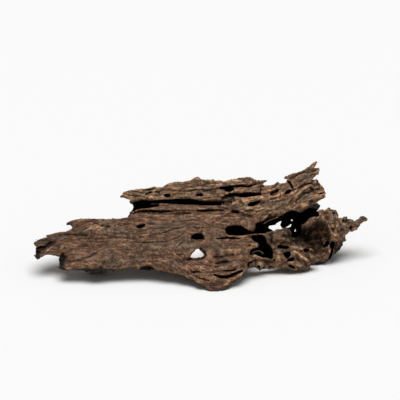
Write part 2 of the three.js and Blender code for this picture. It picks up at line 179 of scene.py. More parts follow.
# The broken outline of the whole wood, read round its edge
outline = [
    (35.4, 239.2), (37.2, 240.3), (40, 239.3), (44, 238), (47.5, 237), (44.3, 236.2), (47, 235.2),
    (50, 234.7), (55, 233.3), (59, 232.4), (63, 231.9), (66, 231.6), (69, 230.4), (71, 229.3),
    (72.3, 227.8), (71.5, 226.6), (70, 225.6), (68, 225.2), (66.3, 225.2), (66.2, 224), (67.5, 222.6),
    (70, 221.2), (75, 219.9), (80, 219), (90, 218.8), (100, 219), (110, 219.1), (118, 218.8), (124, 218.2),
    (127.6, 217.6), (128, 216.2), (129.4, 214.6), (130, 212.6), (131.8, 211), (133, 209), (133.6, 207.5),
    (132.6, 205.5), (130.8, 203.8), (129.4, 202.5), (129.3, 201.4), (130.2, 200.3), (128, 199.5),
    (125, 198.6), (122, 197.7), (120.2, 197.2), (120, 196.2), (121.5, 195.3), (122.7, 194.6),
    (122.6, 193.4), (124, 192), (127, 191), (131, 190.2), (136, 189.4), (141, 189), (145, 188.9),
    (149, 188.2), (152, 187.2), (154, 186.6), (156.5, 187.6), (160, 187.4), (163, 187), (166, 184.8),
    (170, 183), (175, 181.8), (180, 182), (185, 181.5), (189, 180.8), (191.5, 179.8), (194, 178),
    (197, 176.9), (199, 177.4), (201, 179.2), (204, 179.8), (210, 179.6), (213.5, 179.3), (215.3, 180.9),
    (218, 180.7), (221, 180.5), (223, 181.6), (226, 181), (230, 180), (235, 179), (240, 178), (245, 177.4),
    (250, 177.3), (252.3, 177.8), (254.5, 179.6), (257, 180.6), (260, 180.6), (263, 180.1), (267.4, 180.2),
    (264.8, 183), (262.8, 185.2), (266, 185.8), (270, 185.7), (273, 184.8), (275.5, 183.4), (278, 182),
    (280.3, 183.6), (284, 183.2), (286.5, 181.6), (287.5, 180), (285, 179.3), (283.8, 178.4),
    (284.4, 177.2), (287, 176.2), (290, 174.8), (294, 173.5), (298, 172.6), (302, 170.8), (306, 168.6),
    (310, 165.8), (314, 163), (316, 161.2), (317.5, 161.2), (318.3, 162.4), (317, 164.6), (314.7, 166.8),
    (313.8, 168.5), (316, 168.1), (318.5, 168.1), (319.8, 169), (319.3, 172), (318.5, 174.5), (316, 175.8),
    (314, 178), (312.2, 180), (314.5, 179.6), (316.5, 179.4), (318, 180.5), (318.8, 183), (320, 184.1),
    (321.5, 185.2), (323.3, 187), (324.5, 188.8), (324.5, 191.5), (325.8, 193), (326.2, 194.2),
    (325, 195.4), (325.6, 197), (324.6, 198.3), (321.5, 199.8), (318.8, 201.2), (316.8, 202.7),
    (318.3, 204.2), (320.2, 205.5), (320, 207.3), (318.6, 209.3), (316.4, 211.6), (317.5, 210.8),
    (320.5, 209.5), (325, 210), (327.8, 208), (330, 208), (330.8, 209.6), (334, 209.6), (336.2, 210),
    (337, 212), (338, 214.5), (338.7, 216.6), (338.5, 218.7), (341, 218), (343.6, 217.5), (344, 216.6),
    (347, 216.7), (347.4, 218.8), (350, 219), (352.5, 220), (354.6, 221.4), (357, 219.8), (360, 217.3),
    (362.5, 215.5), (365, 217.2), (367, 218.7), (368.3, 219.9), (366, 221.5), (362.5, 222.7), (360.8, 224),
    (359, 227.5), (357, 229.8), (355, 231), (352, 232), (349.5, 232.5), (347, 234.2), (345.5, 235.6),
    (345.3, 238), (346, 241), (344.6, 242), (342.8, 243.4), (342.8, 245.5), (341, 248.2), (339.8, 250),
    (337, 252.3), (335, 253.8), (332.5, 255.4), (331.8, 256.8), (330.6, 259), (328.3, 260.2), (326, 261.2),
    (323.5, 263.3), (320, 264.4), (316.5, 264.8), (313, 264.8), (310.5, 265.5), (309.8, 268), (309, 270),
    (305, 270.6), (300, 270.6), (297, 271), (293, 271.8), (290.5, 271.2), (289, 270), (286, 269.4),
    (280, 268), (275, 269), (272, 269), (270, 270), (267, 269), (264, 269.3), (261.5, 269.6), (260, 271),
    (258, 269.4), (256, 268), (252, 268), (249.5, 268.6), (247.5, 269.5), (246.5, 272), (244.5, 274),
    (242, 276.5), (238, 279.8), (234, 282.3), (231, 285), (228.5, 287.6), (225, 289.2), (220, 289.8),
    (216, 290.2), (213.5, 290.6), (211.5, 291.3), (209, 290.5), (206, 288.8), (204, 286.6), (200, 285.6),
    (197, 284.5), (194, 282), (190, 279.8), (186, 278.4), (182, 276.6), (178, 275.6), (174, 274.3),
    (168, 273.8), (164, 273), (160, 271.5), (155, 270.3), (147, 270.5), (139, 270), (132, 269), (130, 267),
    (127.5, 269.5), (123, 270.6), (118, 270), (114, 271), (110, 270.8), (105, 271.4), (101, 271),
    (100.3, 272), (101.5, 274.6), (99, 274.2), (96, 274), (92, 274.2), (90.5, 274.6), (90, 273),
    (88.5, 271.9), (86, 272.6), (84.5, 271.2), (80, 270.2), (76, 270.3), (73, 270.5), (70, 270.5),
    (67.5, 271.7), (64, 270), (60, 269), (57.8, 268), (57.5, 267), (58.3, 265), (59.3, 262.5), (59, 260),
    (58.8, 258), (59.3, 257.2), (55, 256), (52, 255.4), (48, 254.8), (46, 255.2), (43, 256.8), (41, 258),
    (39.5, 259.6), (38, 260), (36.5, 259), (35, 257.5), (34.2, 256), (34, 255.2), (35.5, 254.4),
    (35.5, 251.5), (35.8, 250), (35.6, 248.3), (36, 247.3), (35.2, 245.8), (33.7, 244.3), (33.5, 243.2),
    (35, 242.2), (36.6, 241.3), (37.2, 240.6),
]

# The thin broken edge that carries the wood out to its outline: offsets from the face are for
# its outer and inner corners
rim = {
    "inset": 6,
    "outset": 1.6,
    "thick": 5,
    "nearOffsets": (2.2, 2.2, 1.2, 1.2),
    "farOffsets": (0, 0, 3, 3),
    "largestStep": 9,
}

# How the holes are cut. A hole starts ahead of its rim, wider than it, and narrows inwards, and
# its inside gets painted shade when it is deep enough.
cutting = {
    "ahead": 14,
    "flare": 1.06,
    "taper": 0.96,
    "rimGap": 2.4,
    "rimJump": 16,
    "darkFrom": 9,
}
through = 300  # as deep as this a hole goes right through

# Holes: how deep each goes behind the face round it, and its edge
holes = {
    "borer in the slab, left": (16, [
        (135.8, 226.5), (138, 225.5), (141, 224.8), (144.5, 224.2), (146, 224.2), (145, 226),
        (143.5, 227.5), (141, 228.4), (138.5, 228.6), (136.5, 227.8)]),
    "borer in the slab, middle": (24, [
        (190.8, 237.6), (192, 235.8), (195, 234.3), (199, 233.8), (202, 234.8), (204.3, 237), (203.5, 239),
        (200, 239.9), (195, 240), (192, 239)]),
    "open window": (through, [
        (197.5, 249.3), (199.5, 250.4), (201.5, 252.6), (203.5, 254.5), (203.2, 256), (201, 257.2),
        (197, 257.8), (193, 257.7), (190.9, 257.3), (191.2, 255.6), (193.5, 252.8), (195.3, 250.6)]),
    "long fissure": (20, [
        (132.6, 211.6), (131.4, 206), (134.5, 202.4), (138, 201.6), (141.5, 200.3), (147, 200.8),
        (155, 200.6), (160, 200), (170, 200), (180, 199), (190, 199), (198, 200.6), (206, 201.4),
        (216, 201.8), (222, 201.2), (222, 205.4), (214, 205.9), (205, 205.9), (198, 205.6), (190, 205),
        (180, 204.6), (170, 204), (160, 203.4), (154, 203.2), (151, 204), (154, 205.4), (159, 205.2),
        (159.3, 206.6), (155, 207.2), (149, 208.4), (142, 208.9)]),
    "borer in the limb, left": (12, [
        (163, 195.4), (165.6, 194), (169.4, 194), (171.6, 195.5), (170, 197.5), (165.8, 197.7)]),
    "borer in the limb, middle": (12, [
        (195.5, 195), (197, 193.6), (201, 193.8), (204, 195.3), (203, 196.4), (199, 196.8),
        (196.5, 196.3)]),
    "gap under the top strand": (11, [
        (219, 188), (221, 186.5), (224, 187), (228, 187), (232, 186.8), (233.5, 187.5), (234, 190.5),
        (231, 191.3), (228, 192), (225.5, 191.5), (224.8, 189.8), (222, 189.5)]),
    "slit of the limb": (11, [
        (225, 195.2), (230, 193.8), (240, 193.4), (250, 193.4), (256, 193), (260.5, 193.2), (260.5, 195.5),
        (256, 196.2), (250, 197), (243, 197.6), (238, 196.4), (233, 196.8), (228, 196.2)]),
    "pocket of the limb": (7, [
        (222, 201), (222.3, 197.5), (225, 195.4), (232, 196.2), (235.3, 198), (235.3, 202), (232.5, 203.3),
        (231, 205.4), (226, 205.4), (222.5, 205.2)]),
    "slanted borer": (12, [
        (246.6, 205.2), (249.6, 203), (254, 201.5), (258, 200.9), (261.8, 200.8), (260, 203),
        (256.6, 204.9), (253, 206.4), (249.6, 206.7)]),
    "nick under the pocket": (8, [
        (230.4, 212.4), (232.6, 210.2), (235.2, 210.8), (238, 210.4), (239.8, 212.2), (238.8, 214.2),
        (235.5, 214.2), (232.4, 213.8)]),
    "slanted dent": (8, [
        (269, 195.3), (270.5, 193), (273.5, 191), (276.5, 190), (279, 189.3), (279.5, 191), (277, 193.2),
        (274, 194.8), (271, 195.6)]),
    "borer in the limb, right": (14, [
        (284.7, 193.8), (285.2, 191.8), (287, 190.5), (290, 190), (292, 190.3), (290.5, 192.6),
        (288.5, 194.3), (286, 194.8)]),
    "broken end slit": (5, [(317.5, 194.3), (320, 193), (324, 192), (324.8, 193), (322, 194), (319, 195)]),
    "great hole": (40, [
        (225.6, 229), (228, 227), (232, 226), (237, 225.8), (242, 226.3), (245, 228.5), (248, 230.3),
        (251, 231.8), (253.3, 232.3), (254.8, 230.5), (255.6, 227.5), (256, 224.5), (258.5, 223),
        (262, 221.8), (262, 234), (256, 234), (250, 234.3), (244, 235.2), (236, 235.7), (229, 235.3),
        (226, 233.2)]),
    "slit under the great hole": (9, [
        (215.3, 238.3), (220, 237.6), (226, 237), (232, 237.3), (238, 238), (242, 238.2), (241, 239.2),
        (235, 239.2), (228, 239.2), (222, 239.4), (216, 239)]),
    "ragged opening": (30, [
        (251.5, 238), (252.5, 235.6), (256, 235.5), (260, 235), (262.5, 235.2), (265, 237), (266.3, 240),
        (266.3, 243), (268, 245), (270.5, 247), (272, 250), (273, 254), (273, 258), (271, 259.5),
        (269, 258.5), (267, 257.5), (264, 257.7), (261, 257), (258, 255.5), (255.5, 254.8), (254, 254.3),
        (252, 255), (250.2, 254), (250, 252), (251.5, 249.8), (254, 248.3), (257.5, 247.8), (259.3, 246),
        (259, 243.8), (257, 243), (254.5, 242), (252.5, 240)]),
    "slot under the knob": (9, [
        (276.8, 246.2), (280, 245.6), (284, 246.5), (288.6, 246.5), (289.2, 248.6), (286, 249.4),
        (281, 248.9), (277.6, 248.3)]),
    "upper borer of the band": (14, [
        (283.2, 253.8), (284.6, 252.2), (287.4, 251.6), (290.6, 252.8), (291.2, 255), (289.8, 257),
        (288.2, 258.6), (286, 258.4), (284.6, 256.4)]),
    "lower borer of the band": (12, [
        (286.8, 260.4), (288.8, 259.2), (290.4, 257.9), (292.8, 257.8), (294.6, 259.4), (293.8, 261),
        (291, 262), (288, 261.8)]),
    "borer of the band's foot": (9, [
        (286.8, 265), (288.4, 264.6), (290.8, 264.8), (293, 265.8), (295, 267.4), (295.4, 269.4),
        (292.4, 269), (289.4, 267.2)]),
    "pit of the bowl, right": (10, [
        (322.6, 246.6), (324.4, 245), (325.6, 242.6), (327, 241.3), (329, 241.6), (329.6, 243.4),
        (328.2, 245.6), (326, 247.2), (323.8, 247.8)]),
    "pit of the bowl, left": (10, [
        (303.4, 249.8), (305.4, 248.8), (308.4, 249.2), (309.4, 250.6), (307.8, 252.5), (305.2, 252.8),
        (303.6, 251.4)]),
    "slot behind the rim": (12, [
        (330.4, 243), (331.6, 241.4), (333.9, 241.6), (334.6, 244.6), (333.8, 248), (333.2, 252),
        (331.9, 255.5), (330.4, 258.6), (327.8, 260.6), (328.9, 257), (330.3, 253.5), (330.8, 249.5),
        (330.1, 246)]),
    "pit of the shell, top": (5, [(332, 213.5), (333, 212.3), (334.8, 212.6), (334.5, 214), (333, 214.4)]),
    "pit of the shell, low": (5, [(331.2, 223.2), (332.4, 222.8), (332.8, 224.4), (331.6, 225)]),
    "pit of the spur": (6, [(341.5, 220.6), (343, 219.2), (344.6, 219.8), (344.4, 221.4), (342.6, 222.2)]),
    "pit beside the spur's knob": (6, [
        (345.6, 219), (347.4, 218.6), (349, 220), (348.4, 221.4), (346.4, 221.6)]),
    "pit of the spur's foot": (5, [
        (349.6, 226.6), (351.4, 226), (352, 228.6), (350.4, 230.6), (349.4, 229)]),
    "bottom dark of the band": (6, [
        (256.6, 266), (258.4, 265.2), (260.4, 266.4), (259.4, 268), (257, 267.6)]),
    "dark slot under the slab": (4, [
        (139, 268.6), (142, 266.6), (146, 265.8), (150, 266.2), (153.5, 267.8), (155.5, 269.6), (150, 270),
        (143, 270)]),
    "recess of the left end": (2.5, [
        (58.6, 256.8), (62, 255.4), (66, 256), (67.4, 258.2), (66, 261), (64.4, 264), (63.4, 267.2),
        (60.6, 268.4), (57.6, 267.6), (58.4, 262.5), (58.4, 259)]),
    "recess beside the foot": (5, [
        (247, 266.5), (247.3, 263.5), (250, 261.5), (253.5, 261.5), (252, 263.5), (249.5, 265.5),
        (248.5, 267.5)]),
    "gap between the branches, left": (through, [
        (268.8, 227), (270.5, 225.8), (275, 225.5), (277, 223.5), (281.2, 221.3), (280.3, 223.5),
        (280, 225.5), (281, 227.5), (282.3, 228.5), (281, 229.5), (278, 229), (275.5, 229.8), (274.3, 231),
        (271.5, 229.8), (269.3, 228.5)]),
    "gap between the branches, middle": (through, [
        (286, 227.3), (289, 226), (291, 224.3), (291.3, 225), (290.5, 227), (288, 227.8)]),
    "gap between the branches, right": (through, [
        (294.3, 231.4), (295.4, 229.1), (295.9, 230.5), (295.1, 231.9)]),
    "gap between the branches, top": (through, [
        (291.2, 220.1), (292, 219.7), (292.4, 221), (291.6, 221.4)]),
    "torn end pit": (3, [
        (35.6, 248.4), (38.2, 246.8), (41, 246), (44.6, 246.4), (46.2, 247.8), (45, 250), (43, 251.6),
        (40.4, 251), (38.6, 253.2), (36.4, 252.8), (37.4, 250)]),
    "broken pit of the limb": (6, [
        (310.2, 187.6), (311.6, 188.4), (314.6, 189.4), (313.8, 191.2), (311.6, 192), (310.4, 190.4)]),
    "broken pit of the tip": (2.5, [
        (315.5, 184), (317, 183.2), (319, 184.6), (318.4, 186.4), (316.4, 186)]),
}

# The cave under the limb: its front, how far back its mouth is open, how far the cave goes, how
# far ahead of its mouth its painted shade starts, and the edge of its mouth
cave = {
    "front": 10,
    "mouth": 103,
    "back": 135,
    "darkAhead": 6,
    "tearSeed": 99,
    "edge": [
        (255.8, 224.5), (257, 223), (260, 222.3), (263, 221.5), (266, 220), (269, 218.8), (274, 218),
        (279, 217.6), (283, 215.5), (286, 213), (289, 211.8), (293, 211.4), (297, 212), (300, 213.8),
        (303, 212), (306, 209.6), (310, 208.4), (314, 208.6), (316.8, 209), (318, 210), (316.4, 211.6),
        (318.6, 213), (319, 215.5), (317.5, 217), (312, 217.2), (308.6, 219.2), (306.8, 221.8),
        (304.9, 223.9), (302.7, 224.4), (301.1, 226), (301.6, 228.8), (300, 233), (296.5, 237.5),
        (292.3, 238.6), (290.6, 236), (291.6, 233.4), (290, 230), (287.3, 227.2), (284, 227.8),
        (281.5, 229.2), (277, 229.3), (274, 231), (271.5, 230.8), (268.8, 231.5), (266, 233),
        (262.5, 233.8), (256.4, 234), (255.4, 231), (256, 227.5)],
}

# The bowl: its front, where its mouth lies, how far it goes back, the turns of its rings in
# degrees, how round it is, and the edge of its mouth
bowl = {
    "front": 30,
    "mouth": 83,
    "depth": 30,
    "turns": (0, 18, 36, 54, 72, 86),
    "roundness": 0.8,
    "edge": [
        (304, 229.5), (308, 227.8), (311, 225), (313.5, 222), (317, 220.7), (321, 220.3), (324.5, 221.5),
        (326.8, 225), (328.8, 230), (331, 234), (331.4, 238), (329.6, 240.6), (326.4, 241), (323.8, 244),
        (321.5, 247), (315, 245.8), (305, 245.5), (297, 243.5), (292.5, 240), (297, 237.5), (300.5, 233),
        (302.5, 229.5)],
}

# Slivers at the holes: the pixel of the face that each starts from, how far behind it, its
# thickness and its edge
slivers = [
    ((262, 262), -1, 5, [
        (252.8, 254.3), (256, 255.4), (259.2, 257), (263, 258.1), (266.6, 258), (269.8, 259.3),
        (269.2, 260.3), (265.4, 259.5), (261.4, 259.4), (257.6, 257.8), (254.4, 256.2)]),
    ((249, 253), 3, 3, [
        (249.6, 254.2), (252.6, 252.6), (255.6, 251.1), (258.4, 250.7), (261.2, 251.5), (264, 254),
        (263.3, 254.7), (260.7, 252.3), (258.2, 251.6), (255.9, 252.1), (253.1, 253.5), (250.4, 255)]),
    ((88, 240), -1, 3, [
        (89.6, 234.2), (88.2, 236), (87.1, 238.2), (87.4, 240.6), (88.3, 243), (89.1, 242.8), (88.3, 240.4),
        (88.1, 238.4), (89.1, 236.5), (90.4, 234.8)]),
    ((40, 252), -1.5, 3, [
        (35.6, 249), (38, 247.5), (40.6, 246.9), (40.9, 247.8), (38.7, 248.8), (36, 250.2)]),
    ((268, 214), -2, 3, [
        (255.4, 228), (256.4, 226.2), (258.6, 224.8), (262, 224.2), (264.5, 222.8), (267, 221),
        (270.5, 219.6), (275, 218.2), (278, 216.4), (278.6, 217.6), (275.4, 219.2), (271, 220.7),
        (267.6, 222.2), (265, 224), (262.4, 225.4), (259.4, 225.9), (257.4, 227.2), (256.2, 229)]),
]

# Wood that stands in the cave, behind holes and at the bowl: its depth at the left and the right,
# its thickness, and its edge. The sheets in the cave and behind the fissure and the great hole lie
# deep enough to take the painted shade inside, so that those holes read black.
branches = {
    "dark branches": (108, 108, 6, [
        (259, 236), (258, 226), (262, 219), (270, 215), (285, 209), (302, 206), (303, 222), (299, 240)]),
    "back of the fissure": (141, 141, 12, [
        (129, 203), (131, 200.6), (142, 199.6), (142, 211.6), (132, 213.4), (129.5, 213)]),
    "back of the great hole": (112, 112, 8, [
        (221.6, 226), (226, 223.6), (236, 223.6), (236, 238), (223, 238), (221.6, 234)]),
    "floor of the bowl": (124, 101, 14, [
        (304, 233), (312, 227), (322, 225), (329, 231), (330.5, 238), (326, 244), (320, 248), (306, 248),
        (300, 243)]),
    "horn of the rim": (86, 80, 8, [
        (301.8, 226.2), (303, 224.9), (305.3, 224.4), (307.3, 222), (309, 219.5), (312, 217.7),
        (318, 217.4), (324, 217.2), (325, 219.6), (318, 219.9), (314, 220.6), (311.5, 222.7), (309, 225.2),
        (307, 227), (304.5, 228.4), (302.6, 228)]),
}


def torn(edge, jitter, seed):
    # the same edge with small tears: a point about every pixel, each set off at random
    chance = np.random.default_rng(seed)
    edge = np.array(edge, dtype=float)
    spots = []
    for start, end in zip(edge, np.roll(edge, -1, axis=0)):
        count = max(1, round(np.hypot(*(end - start)) / wood["tearStep"]))
        for step in range(count):
            spots.append(mix(start, end, step / count) + chance.normal(size=2) * jitter)
    return spots


def ringAt(spots, deep):
    # an outline at one depth, or at a depth for each spot
    return np.column_stack([spots, np.broadcast_to(deep, len(spots))])


def castDeep(tree, spots):
    # how deep the face is that the eye meets first at each place, nan for none
    deeps = []
    for target in standsAt(ringAt(spots, 0)):
        hit = tree.ray_cast(Vector(eyeSpot), Vector(target - eyeSpot).normalized())[0]
        deeps.append(seenAt(np.array([hit]))[0, 2] if hit else np.nan)
    return np.array(deeps)


def makeSolid(name, *rings):
    # a closed solid through outlines of the same point count, from the nearest to the furthest
    count = len(rings[0])
    first = rings[0][:, :2]
    if np.cross(first, np.roll(first, -1, axis=0)).sum() < 0:
        rings = [ring[::-1] for ring in rings]
    last = (len(rings) - 1) * count
    faces = [list(range(count)), list(range(last + count - 1, last - 1, -1))]
    for start in range(0, last, count):
        faces += [[start + (i + 1) % count, start + i, start + i + count, start + (i + 1) % count + count]
                  for i in range(count)]
    mesh = bpy.data.meshes.new(name)
    mesh.from_pydata(standsAt(np.vstack(rings)).tolist(), [], faces)
    solid = bpy.data.objects.new(name, mesh)
    bpy.context.collection.objects.link(solid)
    return solid


def cutWith(piece, solids, operation):
    # one boolean for each solid, all applied in one go
    for solid in solids:
        boolean = piece.modifiers.new(operation, "BOOLEAN")
        boolean.object = solid
        boolean.operation = operation
        boolean.solver = "MANIFOLD"
    selectOnly(piece)
    bpy.ops.object.convert(target="MESH")


def copyNodes():
    copies = []
    for part in parts:
        selectOnly(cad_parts[part["node"]])
        bpy.ops.object.duplicate()
        copy = bpy.context.active_object
        copy.parent = None
        for key in list(copy.keys()):
            if key.startswith("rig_"):
                del copy[key]
        bpy.ops.object.mode_set(mode="EDIT")
        bpy.ops.mesh.select_all(action="SELECT")
        bpy.ops.mesh.remove_doubles(threshold=wood["merge"])
        bpy.ops.transform.shrink_fatten(value=wood["fatten"])
        bpy.ops.object.mode_set(mode="OBJECT")
        copies.append(copy)
    return copies


def treeOf(things):
    spots = []
    faces = []
    for thing in things:
        before = len(spots)
        spots += [tuple(vertex.co) for vertex in thing.data.vertices]
        faces += [[before + i for i in face.vertices] for face in thing.data.polygons]
    return BVHTree.FromPolygons(spots, faces)


def outlineSolid():
    spots = fromPixels(torn(outline, wood["tear"], wood["tearSeed"]))
    return makeSolid("outline", ringAt(spots, wood["front"]), ringAt(spots, wood["back"]))


def rimSolids(tree):
    # the outline solid trims these again at the end
    spots = fromPixels(outline)
    ahead = np.roll(spots, -1, axis=0) - np.roll(spots, 1, axis=0)
    inward = np.column_stack([ahead[:, 1], -ahead[:, 0]])
    inward /= np.linalg.norm(inward, axis=1)[:, None]
    outer = spots - inward * rim["outset"]
    inner = spots + inward * rim["inset"]
    deeps = castDeep(tree, inner)
    solids = []
    for i in range(len(spots)):
        j = (i + 1) % len(spots)
        if abs(deeps[i] - deeps[j]) < rim["largestStep"]:
            corners = np.array([outer[i], outer[j], inner[j], inner[i]])
            near = deeps[[i, j, j, i]] + rim["nearOffsets"]
            far = deeps[[i, j, j, i]] + rim["thick"] + rim["farOffsets"]
            solids.append(makeSolid("rim", ringAt(corners, near), ringAt(corners, far)))
    return solids


def rimDeeps(tree, spots):
    # how deep the face round a hole lies, without what lies behind it
    away = spots - spots.mean(axis=0)
    deeps = castDeep(tree, spots + away / np.linalg.norm(away, axis=1)[:, None] * cutting["rimGap"])
    usual = np.nanmedian(deeps)
    return np.where(np.abs(deeps - usual) < cutting["rimJump"], deeps, usual)


def holeSolids(tree):
    # a solid for each hole, and the plane that its rim lies in, for the painted shade inside
    solids = []
    dark = []
    for seed, (name, (depth, edge)) in enumerate(holes.items()):
        spots = fromPixels(torn(edge, wood["holeTear"], seed))
        deeps = rimDeeps(tree, spots)
        middle = spots.mean(axis=0)
        taper = 1 if depth == through else cutting["taper"]
        near = ringAt(middle + (spots - middle) * cutting["flare"], deeps.min() - cutting["ahead"])
        far = ringAt(middle + (spots - middle) * taper, deeps + depth)
        solids.append(makeSolid(name, near, far))
        if depth >= cutting["darkFrom"]:
            places = np.column_stack([spots, np.ones(len(spots))])
            dark.append((np.linalg.lstsq(places, deeps, rcond=None)[0], spots))
    dark.append((np.array([0, 0, cave["mouth"] - cave["darkAhead"]]), fromPixels(cave["edge"])))
    return solids, dark


def caveSolid(back):
    spots = fromPixels(torn(cave["edge"], wood["holeTear"], cave["tearSeed"]))
    return makeSolid("cave", ringAt(spots, cave["front"]), ringAt(spots, back))


def bowlSolid():
    # a round hollow: smaller rings the further back
    spots = fromPixels(bowl["edge"])
    middle = spots.mean(axis=0)
    rings = [ringAt(spots, bowl["front"])]
    for turn in np.radians(bowl["turns"]):
        ring = middle + (spots - middle) * math.cos(turn) ** bowl["roundness"]
        rings.append(ringAt(ring, bowl["mouth"] + bowl["depth"] * math.sin(turn)))
    return makeSolid("bowl", *rings)


def sliverSolids(tree):
    solids = []
    for pixel, offset, thick, edge in slivers:
        deep = castDeep(tree, fromPixels([pixel]))[0] + offset
        spots = fromPixels(edge)
        solids.append(makeSolid("sliver", ringAt(spots, deep), ringAt(spots, deep + thick)))
    return solids


def branchSolids():
    solids = []
    for name, (left, right, thick, edge) in branches.items():
        spots = fromPixels(edge)
        deep = mix(left, right, (spots[:, 0] - spots[:, 0].min()) / np.ptp(spots[:, 0]))
        solids.append(makeSolid(name, ringAt(spots, deep), ringAt(spots, deep + thick)))
    return solids


def joined(things, name):
    selectOnly(*things)
    bpy.ops.object.join()
    bpy.context.active_object.name = name
    return bpy.context.active_object


def united(things, name):
    first, *others = things
    cutWith(first, others, "UNION")
    for other in others:
        bpy.data.objects.remove(other)
    first.name = name
    return first


def remeshed(thing, voxel):
    remesh = thing.modifiers.new("skin", "REMESH")
    remesh.mode = "VOXEL"
    remesh.voxel_size = voxel
    selectOnly(thing)
    bpy.ops.object.modifier_apply(modifier=remesh.name)


def neighbourMean(values, ends):
    # the mean over the points that each point has an edge to
    total = np.zeros_like(values)
    for axis in range(values.shape[1]):
        for here, there in ((0, 1), (1, 0)):
            total[:, axis] += np.bincount(ends[:, here], values[ends[:, there], axis], len(values))
    return total / np.maximum(np.bincount(ends.ravel(), minlength=len(values)), 1)[:, None]


def smoothSkin(skin, rounds):
    # rounds the flat faces, and no point moves further than smoothReach
    ends = edgesOf(skin)
    start = spotsOf(skin)
    spots = start.copy()
    for _ in range(rounds):
        for share in wood["smoothSteps"]:
            spots = mix(spots, neighbourMean(spots, ends), share)
    move = spots - start
    reach = np.linalg.norm(move, axis=1)[:, None]
    moveSpots(skin, start + move * np.minimum(1, wood["smoothReach"] / np.maximum(reach, 1e-9)))


